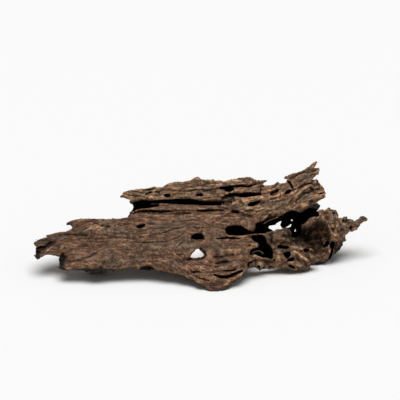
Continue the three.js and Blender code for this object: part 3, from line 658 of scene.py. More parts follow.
# Each stroke below is an amount, a half width in mm, and the pixels that it runs through.
# Soft forms seen from the front: height in mm, below 0 for a hollow
forms = [
    (1.6, 7, [(74, 223), (95, 221.5), (125, 222.5)]), (-2, 4, [(72, 229.5), (80, 230.5), (88, 230)]),
    (3, 6, [(92, 232), (98, 232.6), (104, 233)]), (-2, 5, [(76, 234.5), (84, 235.6), (89, 237)]),
    (-2.2, 4, [(100, 226.8), (110, 227)]), (1.6, 6, [(55, 244), (66, 243.5), (80, 243)]),
    (-1.6, 5, [(60, 237), (72, 237), (86, 236)]), (2.2, 9, [(62, 249), (72, 252), (84, 253)]),
    (-4.5, 5, [(60.5, 257.5), (64.5, 257.5)]), (-3, 4, [(61, 262), (62, 265.5)]),
    (-3.5, 5, [(45, 247.5), (50, 244.5)]), (1.8, 9, [(68, 266), (80, 264.5), (92, 262), (104, 258)]),
    (-2, 6, [(104, 263), (112, 262.5), (118, 261)]), (1.5, 8, [(100, 252), (115, 247), (130, 245)]),
    (-2.2, 7, [(131, 257.5), (137, 254.5), (143, 252.5)]), (1.8, 10, [(150, 229), (165, 226), (175, 224)]),
    (-1.6, 6, [(120, 233), (132, 234), (145, 232.5)]), (1.5, 7, [(150, 248.5), (165, 248), (178, 247)]),
    (-1.8, 5, [(142, 256.5), (160, 256), (178, 255.5)]), (2.2, 9, [(160, 262.5), (172, 266), (186, 269)]),
    (-2.4, 5, [(174, 261.5), (186, 261.5), (193, 260.5)]), (2.2, 6, [(186, 266), (198, 267.5), (208, 270)]),
    (-2.4, 4, [(192, 272.5), (200, 273)]), (2.2, 8, [(206, 262), (209, 254), (208, 245), (207, 238)]),
    (-1.8, 6, [(188, 245), (184, 250), (180, 256)]), (2, 7, [(186, 233), (183, 240), (181, 247)]),
    (-1.4, 6, [(214, 222), (226, 221), (240, 220)]), (1.5, 8, [(212, 231), (213, 243)]),
    (-3.4, 4.5, [(214.5, 257.5), (222, 257.5)]), (-3, 4, [(224, 256.3), (233, 255.3)]),
    (2, 5, [(216, 260), (228, 259.5), (240, 257.5)]), (-3.4, 4.5, [(217, 263.5), (228, 262.5)]),
    (2, 4, [(220, 267), (232, 266), (243, 263)]), (-2.6, 3.5, [(223.5, 271.5), (236, 270.2)]),
    (2.2, 3.2, [(219, 274.5), (228, 274.2), (236, 271.8)]),
    (1.5, 7, [(214, 283), (222, 282.5), (230, 279.5)]), (2.2, 3.4, [(250.5, 245.4), (257, 244.6)]),
    (2.2, 7, [(150, 197), (165, 198), (200, 198), (218, 198)]),
    (1.8, 6, [(160, 190), (180, 187), (200, 186.5)]), (2.2, 3.4, [(160, 207), (190, 207.5), (222, 207.3)]),
    (2.2, 6, [(135, 217.5), (160, 217), (190, 217), (220, 216.5)]),
    (-1.6, 5, [(140, 221.5), (165, 221), (195, 221.5)]), (2.2, 5, [(228, 183), (240, 182), (252, 182)]),
    (2.2, 1.8, [(219.6, 184.4), (222.8, 185.4)]), (2.2, 4, [(236, 190.5), (250, 190.5), (259, 190)]),
    (2.4, 5, [(240, 200), (250, 199.5), (262, 199)]), (2.2, 7, [(240, 210), (255, 210), (268, 207.5)]),
    (-2, 5, [(226, 215.5), (240, 215), (256, 213.5)]), (1.8, 6, [(225, 219.5), (240, 219), (252, 221)]),
    (-2.2, 4, [(272, 200.5), (281, 200)]), (2.6, 3, [(286, 203), (294, 197), (302, 190.5), (309, 186)]),
    (-3.2, 4.5, [(297, 202.5), (303, 196.5), (311, 191.5), (318, 190)]),
    (2.6, 4, [(286, 208.5), (297, 204), (308, 200), (322, 197)]),
    (-2.4, 3.5, [(276, 209.5), (288, 206), (300, 203.5), (312, 201)]),
    (2.2, 4, [(270, 213), (284, 211), (298, 207), (312, 204.5)]),
    (-2.2, 3.5, [(262, 205.5), (275, 204.5), (288, 200)]), (2, 4, [(262, 209), (276, 207), (288, 203.5)]),
    (-2.2, 3, [(294, 178.5), (303, 174), (311, 169)]), (2, 3, [(292, 182), (300, 178), (306, 172.5)]),
    (2, 3, [(297, 187.5), (303, 184), (310, 181)]), (-2.5, 2.5, [(300, 188), (306, 184.5), (312, 183.5)]),
    (2, 3, [(310, 167), (316.5, 162.5)]), (2.5, 3.5, [(316.5, 171), (316, 174)]),
    (2, 5, [(270, 240), (278, 238.5), (284, 240)]), (3, 4.5, [(284, 230.6), (288, 231), (290.4, 235)]),
    (-2.6, 2.2, [(282.6, 236.4), (285.4, 236.2), (288, 238)]), (2.2, 1.8, [(282.8, 239.2), (284.8, 239)]),
    (2.6, 2.2, [(287.4, 240.4), (290.2, 242.2)]), (-2, 2.6, [(290.8, 238.6), (291, 244.6)]),
    (-3.2, 2, [(271.6, 232), (271.8, 238), (271, 243)]), (1.6, 1.4, [(275, 230.6), (274.8, 241)]),
    (-3, 2, [(288.5, 234), (290, 238)]), (2.2, 5, [(276, 250), (277, 256), (276, 262)]),
    (2, 4, [(250, 265), (262, 264.5), (276, 264.5)]),
    (-2.2, 3.6, [(256, 261.5), (264, 262.5), (272, 262.8)]),
    (2.2, 3.5, [(280, 262.5), (286, 262), (296, 264.5), (304, 266)]),
    (2.6, 3.5, [(292, 248.5), (298, 248), (302.5, 249.5)]),
    (2.6, 1.6, [(292, 250.5), (297, 252), (302, 256), (308, 261.3)]),
    (2.6, 2.4, [(305.2, 258.2), (307.6, 261)]), (-2.4, 4, [(268, 262.6), (275, 262.2)]),
    (-2.4, 4, [(284.6, 256), (282.6, 251)]), (2.6, 4, [(279, 254), (280, 260)]),
    (-2.4, 4, [(283, 263.6), (287, 262.6)]), (2.4, 5, [(299, 265.6), (304, 267)]),
    (-2.4, 3, [(296, 257), (299, 260.4)]), (-2.2, 3, [(262, 266.4), (268, 266)]),
    (2.4, 4, [(258, 263.4), (264, 264.4)]), (-2.8, 4, [(300, 251.5), (305, 255), (309, 258)]),
    (2.4, 2.2, [(301, 247.6), (310, 246.2), (318, 246.6), (323, 248.6)]),
    (-3.6, 5, [(311, 251.6), (318, 253), (324, 252)]), (-2.4, 3, [(296, 242), (300, 243.6)]),
    (2.4, 1.6, [(328.2, 249), (328.9, 253), (326, 257), (320, 260), (314, 260.4)]),
    (1.4, 2, [(329, 231), (318, 233), (306, 236)]), (-1.4, 2, [(328, 235), (317, 237), (305, 239.5)]),
    (1.4, 2, [(327, 239), (316, 241), (303, 243)]), (-1.4, 1.8, [(324, 225), (314, 229), (305, 233.5)]),
    (1.4, 1.8, [(320, 222), (312, 226.5)]),
    (2.4, 1.5, [
        (316, 218.5), (323, 217.5), (326, 221), (328.5, 227), (331, 231), (333.5, 235), (332, 240)]),
    (2, 1.5, [(329.5, 248.5), (330, 253), (327, 258), (322.5, 262), (316, 263)]),
    (2, 3, [(333.5, 233.5), (337, 235), (340.5, 238)]), (2, 2, [(335, 241), (340, 236)]),
    (2, 1.5, [(339, 240), (338.5, 246), (336, 251)]), (-3, 3.5, [(335, 243), (335, 250)]),
    (-2, 3, [(350, 226.5), (352, 229)]), (-2.2, 2.5, [(343, 220.5), (346, 222)]),
    (2, 3, [(330, 212), (331, 220), (333, 227)]), (-1.6, 3, [(326, 213), (328, 220)]),
    (1.8, 2.5, [(347, 218), (353, 221.5), (359, 221)]), (-1.8, 3, [(340, 224), (343, 230)]),
    (1.8, 3, [(337, 222), (338.5, 230)]),
]

# Ledges: the wood at the left of each line, seen along it, stands out: by how many mm, over
# what width in mm it falls back, and the pixels of the line
ledges = [
    (2.8, 8, [(104, 229.6), (100, 227), (95.8, 224.8), (88, 229), (81, 233)]),
    (2.2, 6, [(58, 239.6), (64, 239), (75, 239.8), (82, 238.8), (90, 237.8), (100, 238.2), (113, 237.4)]),
    (1.2, 5, [(66, 234.6), (72, 234.8), (80, 234.4), (90, 236.4)]),
    (2.6, 8, [(35.5, 248.8), (40, 247.4), (44, 247.2), (47, 245), (50, 242), (57, 240.8)]),
    (1.8, 9, [(67, 260.8), (75, 261), (82, 258.8), (88, 257), (96, 253), (106, 249.6)]),
    (1.6, 6, [(103, 266.4), (111, 266.6), (118, 266), (123, 262)]),
    (1, 8, [(115, 237.5), (130, 237.2), (148, 235.8), (160, 234.2), (170, 231), (178, 228)]),
    (1, 8, [(135, 242.6), (150, 242.6), (165, 242.2), (173, 241.4), (180, 238), (186, 231.5)]),
    (0.8, 6, [(176, 248.5), (181, 243.6), (190, 241)]),
    (1.2, 7, [(115, 229.5), (125, 229.4), (136, 227.6)]),
    (1.4, 5, [
        (150, 194), (160, 194.6), (170, 193.6), (180, 194.2), (190, 193.2), (197, 192.2), (207, 193.4)]),
    (2.4, 8, [(186, 190.6), (193, 190.4), (200, 189.8), (210, 189.8), (219, 188.6), (223, 187.5)]),
    (1.4, 3.5, [(199, 183.4), (207, 182.9), (213, 183.3), (222, 182.8)]),
    (1.6, 4, [(145, 195.8), (147.5, 193.6), (151, 192.6), (154, 192.2)]),
    (3, 5, [
        (137, 211.2), (145, 210.6), (160, 210.8), (175, 210.4), (190, 210.4), (210, 210.8), (224, 210.6)]),
    (1.8, 4, [(145, 213.4), (160, 213.4), (175, 213.8), (191, 213.2)]),
    (3, 8, [(222, 187.2), (231, 186.3), (240, 185.4), (248, 186.2), (255, 184.6)]),
    (2.6, 5, [(233, 193.4), (245, 193.3), (261, 192.4)]),
    (1.4, 6, [(233, 209.5), (236, 211.6), (243, 211.8), (255, 209)]),
    (1.4, 6, [(246, 206.4), (253, 206), (260, 203.6), (267, 200.8)]),
    (1.8, 6, [(263, 214.4), (268, 214.2), (272, 214.6), (278, 214)]),
    (1.6, 4, [(296, 186.5), (302, 183.5), (307, 179.5)]),
    (1.6, 4, [(309.5, 170.6), (314, 169.6), (319, 170)]),
    (1.8, 5, [(284.5, 178.8), (290, 177.6), (298, 174)]),
    (1.4, 5, [(248, 262.4), (255, 259.8), (262, 260.6), (268, 261.6), (276, 261.2)]),
]

# Grooves: depth in mm
grooves = [
    (1.6, 0.8, [(64, 238.8), (75, 239.6), (88, 238.4)]),
    (1.2, 0.7, [(65, 234.5), (75, 235.2), (88, 236.5)]),
    (0.9, 0.9, [(67, 260.8), (75, 261), (83, 258.6), (90, 256.5), (96, 253), (105, 249.2)]),
    (1.2, 0.9, [(90, 242), (98, 242.2), (106, 241.6)]), (1.6, 0.8, [(91, 230), (91.6, 234)]),
    (2, 0.9, [(101, 226.4), (103, 226.4)]), (1.8, 0.9, [(106, 227.2), (109.6, 226.6)]),
    (2.4, 0.8, [(43.5, 247.2), (46, 250.6)]), (2.4, 0.9, [(36, 252.3), (40, 252.6)]),
    (1.6, 0.9, [(64.5, 247.2), (65.5, 249)]),
    (1.5, 0.5, [(148, 235.8), (155, 234.8), (160, 234), (165, 232.5), (170, 230.8), (178, 227.8)]),
    (1.4, 0.5, [
        (135, 242.3), (142, 243), (150, 242.5), (165, 242), (170, 241), (178, 237.5), (186, 231.5)]),
    (1.4, 0.5, [(177, 248), (180, 244.5), (183, 241.8), (188, 240.3)]),
    (1.6, 0.9, [(165, 254.9), (175, 255.2), (182, 254.7)]),
    (2.6, 1.6, [
        (187, 260.2), (191, 259.2), (197, 259.3), (203, 258.4), (205.5, 255.5), (204, 252), (200, 248.6)]),
    (2.2, 1.2, [(192, 273), (197, 272), (200, 272.4)]),
    (2.2, 1.2, [(193, 276.4), (200, 278.7), (209, 281.2)]),
    (3.2, 1.6, [(134, 213.6), (140, 211.7), (150, 211.6), (162, 212.4), (172, 212.2)]),
    (2.4, 1.3, [(148, 213.8), (160, 213.5), (170, 214), (180, 214.2), (191, 213.4)]),
    (4, 1.2, [(197, 210.9), (204, 211), (212, 210.8), (224, 210.9)]),
    (2.6, 1, [(317.2, 180.4), (317.8, 184), (319.8, 187.4)]),
    (2.2, 1, [(311, 181.4), (312.2, 184.4), (315.6, 186.2)]),
    (2, 0.9, [(306, 193.6), (313, 192.8), (318, 193.6)]),
    (2.6, 1, [(223.4, 203), (222.8, 199), (225.5, 196), (231, 195.6)]),
    (3.4, 0.9, [(145, 195.6), (147, 193.8), (152, 192.4)]),
    (3.4, 0.7, [(154.5, 192.4), (158.8, 192.4), (159.5, 194.8)]),
    (3, 0.8, [(146, 190.5), (150, 189.8), (154, 189)]),
    (1.8, 0.8, [(191, 190.6), (200, 189.9), (210, 189.9), (219, 188.6)]),
    (4, 1.3, [(224, 187.2), (231, 186.8), (240, 186), (248, 186.7), (255, 185)]),
    (2.6, 0.6, [(261.4, 186.4), (260.6, 191), (260.4, 196)]), (2, 0.5, [(280.4, 193), (280, 199)]),
    (3, 1.1, [(262.5, 186.4), (264, 186.6)]),
    (5, 1.2, [(287.5, 181), (289.5, 183), (291.5, 186), (293.2, 190)]),
    (4, 0.9, [(289, 191.6), (293, 190.6), (296, 189.2)]),
    (3, 1.2, [(301, 187.6), (305, 184.8), (310, 183.6)]),
    (2.2, 1, [(214.5, 257.5), (220, 257.7), (223, 257.3)]),
    (2, 1, [(224, 256.3), (230, 255.9), (235, 254.8)]),
    (2.4, 1.2, [(219, 262.9), (224, 262.4), (228.5, 262)]), (1.8, 1, [(215.5, 264), (219, 264.6)]),
    (1.8, 1, [(214.5, 267.4), (219.5, 266.4)]), (3.4, 0.9, [(223.5, 271.8), (228, 271.2), (235.5, 270.2)]),
    (7, 1.8, [(214.6, 275.2), (219, 277.2), (226, 277.5), (231, 276.2), (236, 274), (242, 271.2)]),
    (3, 1.3, [(268.5, 267.2), (272, 266.8)]), (3, 1.1, [(258, 266.8), (260, 267.2)]),
    (3, 1.3, [(273.6, 260.4), (275, 260)]), (2.4, 0.8, [(248.5, 246), (251, 245.4)]),
    (3, 1.2, [(311.5, 181.4), (313.5, 181.6)]), (5, 1.6, [(313, 213.4), (318, 215.2)]),
    (1.2, 0.9, [(263, 204.4), (272, 202), (281, 201.6), (288, 199)]),
    (1.2, 0.9, [(290, 207.2), (300, 203.6), (312, 200.8)]),
    (1.1, 0.8, [(284, 209.6), (296, 206), (306, 203)]), (1.4, 0.9, [(303, 199), (312, 194.6), (320, 194)]),
    (1.1, 0.8, [(296, 201), (303, 195.6), (309, 191)]),
]

# Ribs: height in mm
ribs = [
    (1.8, 1, [(45.6, 252.8), (48, 250.4), (50.5, 248.2), (53, 246.8)]),
    (1.8, 0.9, [(60, 249.8), (61.5, 248.4), (63.2, 247)]),
    (1.6, 1.1, [(82, 232.6), (90, 228.3), (95.5, 225.4), (99, 226.6), (104, 229)]),
    (0.8, 0.7, [(89, 241.6), (89.6, 245), (91.4, 248.4)]),
    (1.2, 1.1, [(133.8, 215), (137.4, 211), (143, 209.8), (150, 209.8), (160, 208.9), (190, 209.5)]),
    (1.2, 0.8, [(324, 217.9), (327.6, 223.7), (330.5, 230.1), (332, 235), (331, 240)]),
    (1.5, 1, [(226, 236.2), (235, 236.4), (243, 237), (247, 235.6), (255, 234.7), (262, 234.7)]),
    (1.4, 0.8, [(254.5, 255), (258, 256.9), (262, 258), (266, 258.4), (268.5, 259.8)]),
    (1.2, 1, [(283.2, 239), (285, 239)]), (1.4, 1, [(287.6, 241), (289.5, 241.4)]),
    (1.4, 1, [(223, 286.2), (226, 284.6), (229, 281.6), (234, 278.6), (243, 273)]),
]

# Where the wood is smoother: share of the fine grain taken off
calms = [
    (0.4, 30, [(50, 245), (112, 246)]), (0.5, 9, [(277, 234), (282, 238)]),
    (0.5, 6, [(287, 232), (290, 236)]), (0.5, 13, [(312, 232), (322, 234)]),
    (0.5, 8, [(312, 250), (322, 254)]), (0.35, 9, [(279, 250), (279, 262)]),
    (0.3, 11, [(256, 262), (302, 262)]), (0.25, 8, [(292, 248), (306, 254)]),
]

# How a stroke is drawn: full to soft or crisp times its half width and gone at fade times it,
# thin at its tips, on wood that faces the eye. A groove is broken by noise, and its floor gets
# painted shade.
brush = {
    "soft": 0.1,
    "crisp": 0.4,
    "fade": 1.5,
    "edge": 0.3,
    "reach": 1.6,
    "margin": 1,
    "tip": 0.05,
    "fullness": 1.6,
    "facing": (0.05, 0.35),
    "ledgeHeight": 1.25,
    "ledgeBelow": -0.6,
    "ledgeBehind": 0.5,
    "ledgeStep": 0.6,
    "ledgeEnds": 0.12,
    "grooveWidth": 1.15,
    "least": 0.85,
    "broken": 0.3,
    "brokenSize": 5,
    "brokenSeed": 40,
    "crackFrom": 0.8,
    "crackOver": 4,
    "crackMost": 0.85,
}


def nearSpots(view, spots, far=0):
    # the numbers of the points that lie in the box round some spots
    low = spots.min(axis=0) - far
    high = spots.max(axis=0) + far
    return np.flatnonzero(np.all((view[:, :2] > low) & (view[:, :2] < high), axis=1))


def strokeReach(view, path, far):
    # the points near a path: their gap to it in mm, how far along it they lie, and their side
    spots = fromPixels(path)
    near = nearSpots(view, spots, far)
    best = np.full(len(near), 1e9)
    share = np.zeros(len(near))
    side = np.ones(len(near))
    lengths = np.linalg.norm(np.diff(spots, axis=0), axis=1)
    before = 0
    for start, end, length in zip(spots[:-1], spots[1:], lengths):
        run = end - start
        away = view[near, :2] - start
        t = np.clip(away @ run / length ** 2, 0, 1)
        gap = np.linalg.norm(away - t[:, None] * run, axis=1)
        nearer = gap < best
        best[nearer] = gap[nearer]
        share[nearer] = ((before + t * length) / lengths.sum())[nearer]
        side[nearer] = np.sign(run[0] * away[:, 1] - run[1] * away[:, 0])[nearer]
        before += length
    return near, best, share, side


def strokeWeight(view, halfWidth, path, full):
    near, gap, share, _ = strokeReach(view, path, halfWidth * brush["reach"] + brush["margin"])
    turn = np.pi * np.clip(share, brush["tip"], 1 - brush["tip"])
    taper = np.sqrt(np.clip(np.sin(turn) * brush["fullness"], 0, 1))
    gone = halfWidth * brush["fade"] * taper + brush["edge"]
    return near, 1 - ease(gap, halfWidth * full * taper, gone)


def strokesAt(view, strokes, full=brush["soft"]):
    total = np.zeros(len(view))
    for amount, halfWidth, path in strokes:
        near, weight = strokeWeight(view, halfWidth, path, full)
        total[near] += amount * weight
    return total


def facingEye(skin):
    return ease(normalsOf(skin) @ toEye, *brush["facing"])


def modelForms(skin):
    spots = spotsOf(skin)
    view = seenAt(spots)
    rise = strokesAt(view, forms)
    for height, fade, path in ledges:
        near, gap, share, side = strokeReach(view, path, fade + brush["margin"])
        above = 1 - ease(gap * side, 0, fade)
        below = brush["ledgeBelow"] * (1 - ease(-gap * side, 0, fade * brush["ledgeBehind"]))
        step = ease(gap * side, -brush["ledgeStep"], brush["ledgeStep"])
        ends = ease(np.minimum(share, 1 - share), 0, brush["ledgeEnds"]) * (gap < fade)
        rise[near] += height * brush["ledgeHeight"] * ends * mix(below, above, step)
    moveSpots(skin, spots + toEye * (rise * facingEye(skin) * mm)[:, None])


# Grain lines climb into the limb, drop to the foot, fan out at the left end and bend round
# knots and holes. A pair is where a bend starts and where it is full.
grain = {
    "climb": math.tan(math.radians(27)),
    "climbFrom": 72,
    "climbBend": 16,
    "climbUp": (82, 100),
    "drop": 24,
    "dropAcross": (-70, 12),
    "dropUp": (26, 62),
    "fan": 0.5,
    "fanMiddle": 56,
    "fanAcross": (-225, -150),
    "knots": [((197.5, 237), 16), ((197, 254), 15), ((140, 227), 7), ((237, 231), 14), ((118, 262), 9)],
    "knotLength": 2.5,
    "knotPull": 0.9,
    "waves": [(2.2, 23, 31), (1.2, 9.5, 14)],
    "limbUp": (92, 104),
}

# The burl: where it begins and is full, where it ends at the limb and the spur, and its bowl,
# in which the grain runs out from a start
burl = {
    "from": 84,
    "lumpsFrom": 126,
    "fade": 22,
    "limbUp": (104, 116),
    "spurAcross": (196, 212),
    "bowlStart": (296, 244),
    "bowlMiddle": (316, 242),
    "bowlReach": (24, 27),
    "squeeze": 1.2,
    "squeezeFrom": 160,
    "squeezeBend": 10,
}

# The pieces that the wood is split into at its forks: their nodes and slots, the seed of the
# grain's noise, how high its strands stand, and the browns and greys from dark to light
frontSlab = {
    "node": "front_slab",
    "slot": "slab_wood",
    "seed": 11,
    "strands": {"broad": 0.9, "narrow": 0.6, "fine": 0.36, "thin": 0.2},
    "brown": ("#3d2b20", "#62493a", "#8f7158"),
    "grey": ("#3c332b", "#796a59"),
}
upperLimb = {
    "node": "upper_limb",
    "slot": "limb_wood",
    "seed": 21,
    "strands": {"broad": 1.3, "narrow": 0.75, "fine": 0.4, "thin": 0.25},
    "brown": ("#3f2e23", "#705744", "#ae8e70"),
    "grey": ("#40372e", "#887968"),
}
hollowRoot = {
    "node": "hollow_root",
    "slot": "root_wood",
    "seed": 31,
    "strands": {"broad": 0.12, "narrow": 0.3, "fine": 0.3, "thin": 0.2},
    "brown": ("#34261d", "#5b4737", "#987a60"),
    "grey": ("#3a3029", "#7f6e5f"),
}
parts = (frontSlab, upperLimb, hollowRoot)

# Strands of the grain: length along it and width over it. The thin ones are drawn as coarse as
# the skin's points can show.
strands = {
    "broad": (furrows, 85, 11),
    "narrow": (streaks, 42, 4.6),
    "fine": (streaks, 15, 3),
    "thin": (furrows, 22, 1.9),
}

# Lumps that no grain runs in: height and size, and the seed of their noise
lumps = {
    "wood": (0.8, 13, 90),
    "grit": (0.32, 2.6, 91),
    "burl": (1.4, 8, 92),
    "burlGrit": (0.6, 3.6, 93),
}


def flowOf(view):
    across, up, deep = view.T
    over = up.copy()
    bend = np.logaddexp(0, (across - grain["climbFrom"]) / grain["climbBend"]) * grain["climbBend"]
    over -= grain["climb"] * bend * ease(up, *grain["climbUp"])
    over += grain["drop"] * ease(across, *grain["dropAcross"]) * (1 - ease(up, *grain["dropUp"]))
    over += (up - grain["fanMiddle"]) * grain["fan"] * (1 - ease(across, *grain["fanAcross"]))
    for pixel, reach in grain["knots"]:
        (knotAcross, knotUp), = fromPixels([pixel])
        away = (across - knotAcross) ** 2 / grain["knotLength"] + (up - knotUp) ** 2
        over -= (up - knotUp) * grain["knotPull"] * reach ** 2 / (away + reach ** 2)
    for height, long, tall in grain["waves"]:
        over += height * np.sin(across / long + up / tall)
    return np.stack([across, over, deep], axis=1)


def burlFlowOf(view):
    # outside the bowl the grain runs no way in particular
    start, middle = fromPixels([burl["bowlStart"], burl["bowlMiddle"]])
    across, up = (view[:, :2] - start).T
    inside = (np.linalg.norm((view[:, :2] - middle) / burl["bowlReach"], axis=1) < 1)[:, None]
    outward = view * [burl["squeeze"], 1, 1]
    bend = np.logaddexp(0, (view[:, 0] - burl["squeezeFrom"]) / burl["squeezeBend"])
    outward[:, 0] += burl["squeeze"] * bend * burl["squeezeBend"]
    aside = np.arctan2(up, across) * burl["bowlReach"][0]
    inward = np.stack([np.hypot(across, up), aside, view[:, 2]], axis=1)
    return np.where(inside, inward, outward)


def burlShare(view, start=burl["from"]):
    across, up, _ = view.T
    share = ease(across, start, start + burl["fade"]) * (1 - ease(up, *burl["limbUp"]))
    return share * (1 - ease(across, *burl["spurAcross"]))


def limbShare(view):
    return ease(view[:, 1], *grain["limbUp"]) * (1 - burlShare(view))


def strandsOf(flow, part):
    # weathered wood: broad furrows, narrow strands and thin fibres
    height = 0
    for step, (kind, (shape, along, over)) in enumerate(strands.items()):
        height = height + part["strands"][kind] * shape(flow, along, over, part["seed"] + step)
    return height


def lumpsOf(view, kind):
    height, size, seed = lumps[kind]
    return height * noiseAt(view / size, seed)


def carveGrain(skin):
    view = seenAt(spotsOf(skin))
    flow = flowOf(view)
    along = mix(strandsOf(flow, frontSlab), strandsOf(flow, upperLimb), limbShare(view))
    height = mix(along, strandsOf(burlFlowOf(view), hollowRoot), burlShare(view))
    height += (lumpsOf(view, "burl") + lumpsOf(view, "burlGrit")) * burlShare(view, burl["lumpsFrom"])
    height += lumpsOf(view, "grit")
    height *= 1 - strokesAt(view, calms)
    height += lumpsOf(view, "wood")
    height -= np.median(height)
    spots = spotsOf(skin) + normalsOf(skin) * (height * mm)[:, None]
    spots[:, 2] = np.maximum(spots[:, 2], 0)
    moveSpots(skin, spots)


def carveStrokes(skin):
    spots = spotsOf(skin)
    view = seenAt(spots)
    sink = np.zeros(len(spots))
    for depth, halfWidth, path in grooves:
        near, weight = strokeWeight(view, halfWidth * brush["grooveWidth"], path, brush["crisp"])
        broken = noiseAt(view[near] / brush["brokenSize"], brush["brokenSeed"])
        sink[near] = np.maximum(sink[near], depth * weight * (brush["least"] + brush["broken"] * broken))
    facing = facingEye(skin)
    rise = strokesAt(view, ribs, brush["crisp"]) - sink
    moveSpots(skin, spots + toEye * (rise * facing * mm)[:, None])
    # painted shade on the floor of deep grooves
    crack = (sink * facing - brush["crackFrom"]) / brush["crackOver"]
    setAttribute(skin, "crack", np.clip(crack, 0, brush["crackMost"]))


def setAttribute(skin, name, values, kind="FLOAT"):
    attribute = skin.data.attributes.new(name, kind, "POINT")
    field = "vector" if kind == "FLOAT_VECTOR" else "value"
    attribute.data.foreach_set(field, np.ascontiguousarray(values, dtype=np.float32).ravel())


def hollowness(skin, rounds):
    # how far each point lies below the mean of the skin round it, in mm
    ends = edgesOf(skin)
    start = spotsOf(skin)
    spots = start.copy()
    for _ in range(rounds):
        spots = neighbourMean(spots, ends)
    return np.sum((spots - start) * normalsOf(skin), axis=1) / mm


# The free air round each point, found with rays. Where it is low, the wood's colour is darkened: painted
# shade in cracks and crevices.
openAir = {"rays": 10, "reach": 32 * mm, "start": 0.5, "lift": 1.02}


def openness(skin):
    # how much of the air round each point is free, 0 in a deep crack and 1 on a ridge
    spots = spotsOf(skin)
    normals = normalsOf(skin)
    tree = BVHTree.FromObject(skin, bpy.context.evaluated_depsgraph_get())
    starts = (spots + normals * openAir["start"] * mm).tolist()
    free = np.zeros(len(spots))
    turn = math.pi * (3 - math.sqrt(5))
    for i in range(openAir["rays"]):
        height = 1 - (2 * i + 1) / openAir["rays"]
        ring = math.sqrt(1 - height * height)
        ray = normals * openAir["lift"] + [ring * math.cos(turn * i), ring * math.sin(turn * i), height]
        ray /= np.linalg.norm(ray, axis=1)[:, None]
        hits = [tree.ray_cast(start, way, openAir["reach"])[3] for start, way in zip(starts, ray.tolist())]
        free += np.array([1 if hit is None else hit / openAir["reach"] for hit in hits])
    return neighbourMean((free / openAir["rays"])[:, None], edgesOf(skin))[:, 0]


def insideOf(edge, places):
    inside = np.zeros(len(places), dtype=bool)
    x, y = places.T
    for (fromX, fromY), (toX, toY) in zip(edge, np.roll(edge, -1, axis=0)):
        if fromY != toY:
            spans = (fromY > y) != (toY > y)
            inside ^= spans & (x < (toX - fromX) * (y - fromY) / (toY - fromY) + fromX)
    return inside


# What is painted on the skin. A pair is where it starts and is full, or its lowest and highest,
# and the cavity is worked out over a few and over many rounds, each with its share. The dark
# keys place the painted shade inside the holes.
paint = {
    "darkGrown": 0.05,
    "darkFrom": (0.6, 3),
    "darkTo": (90, 110),
    "front": (-0.8, -0.45),
    "cavity": (-1, 1.5),
    "cavityRounds": ((3, 1.6), (20, 0.5)),
    "tone": (-0.92, 1.6),
    "rough": (0.3, 1),
    "roughShare": 1.1,
}
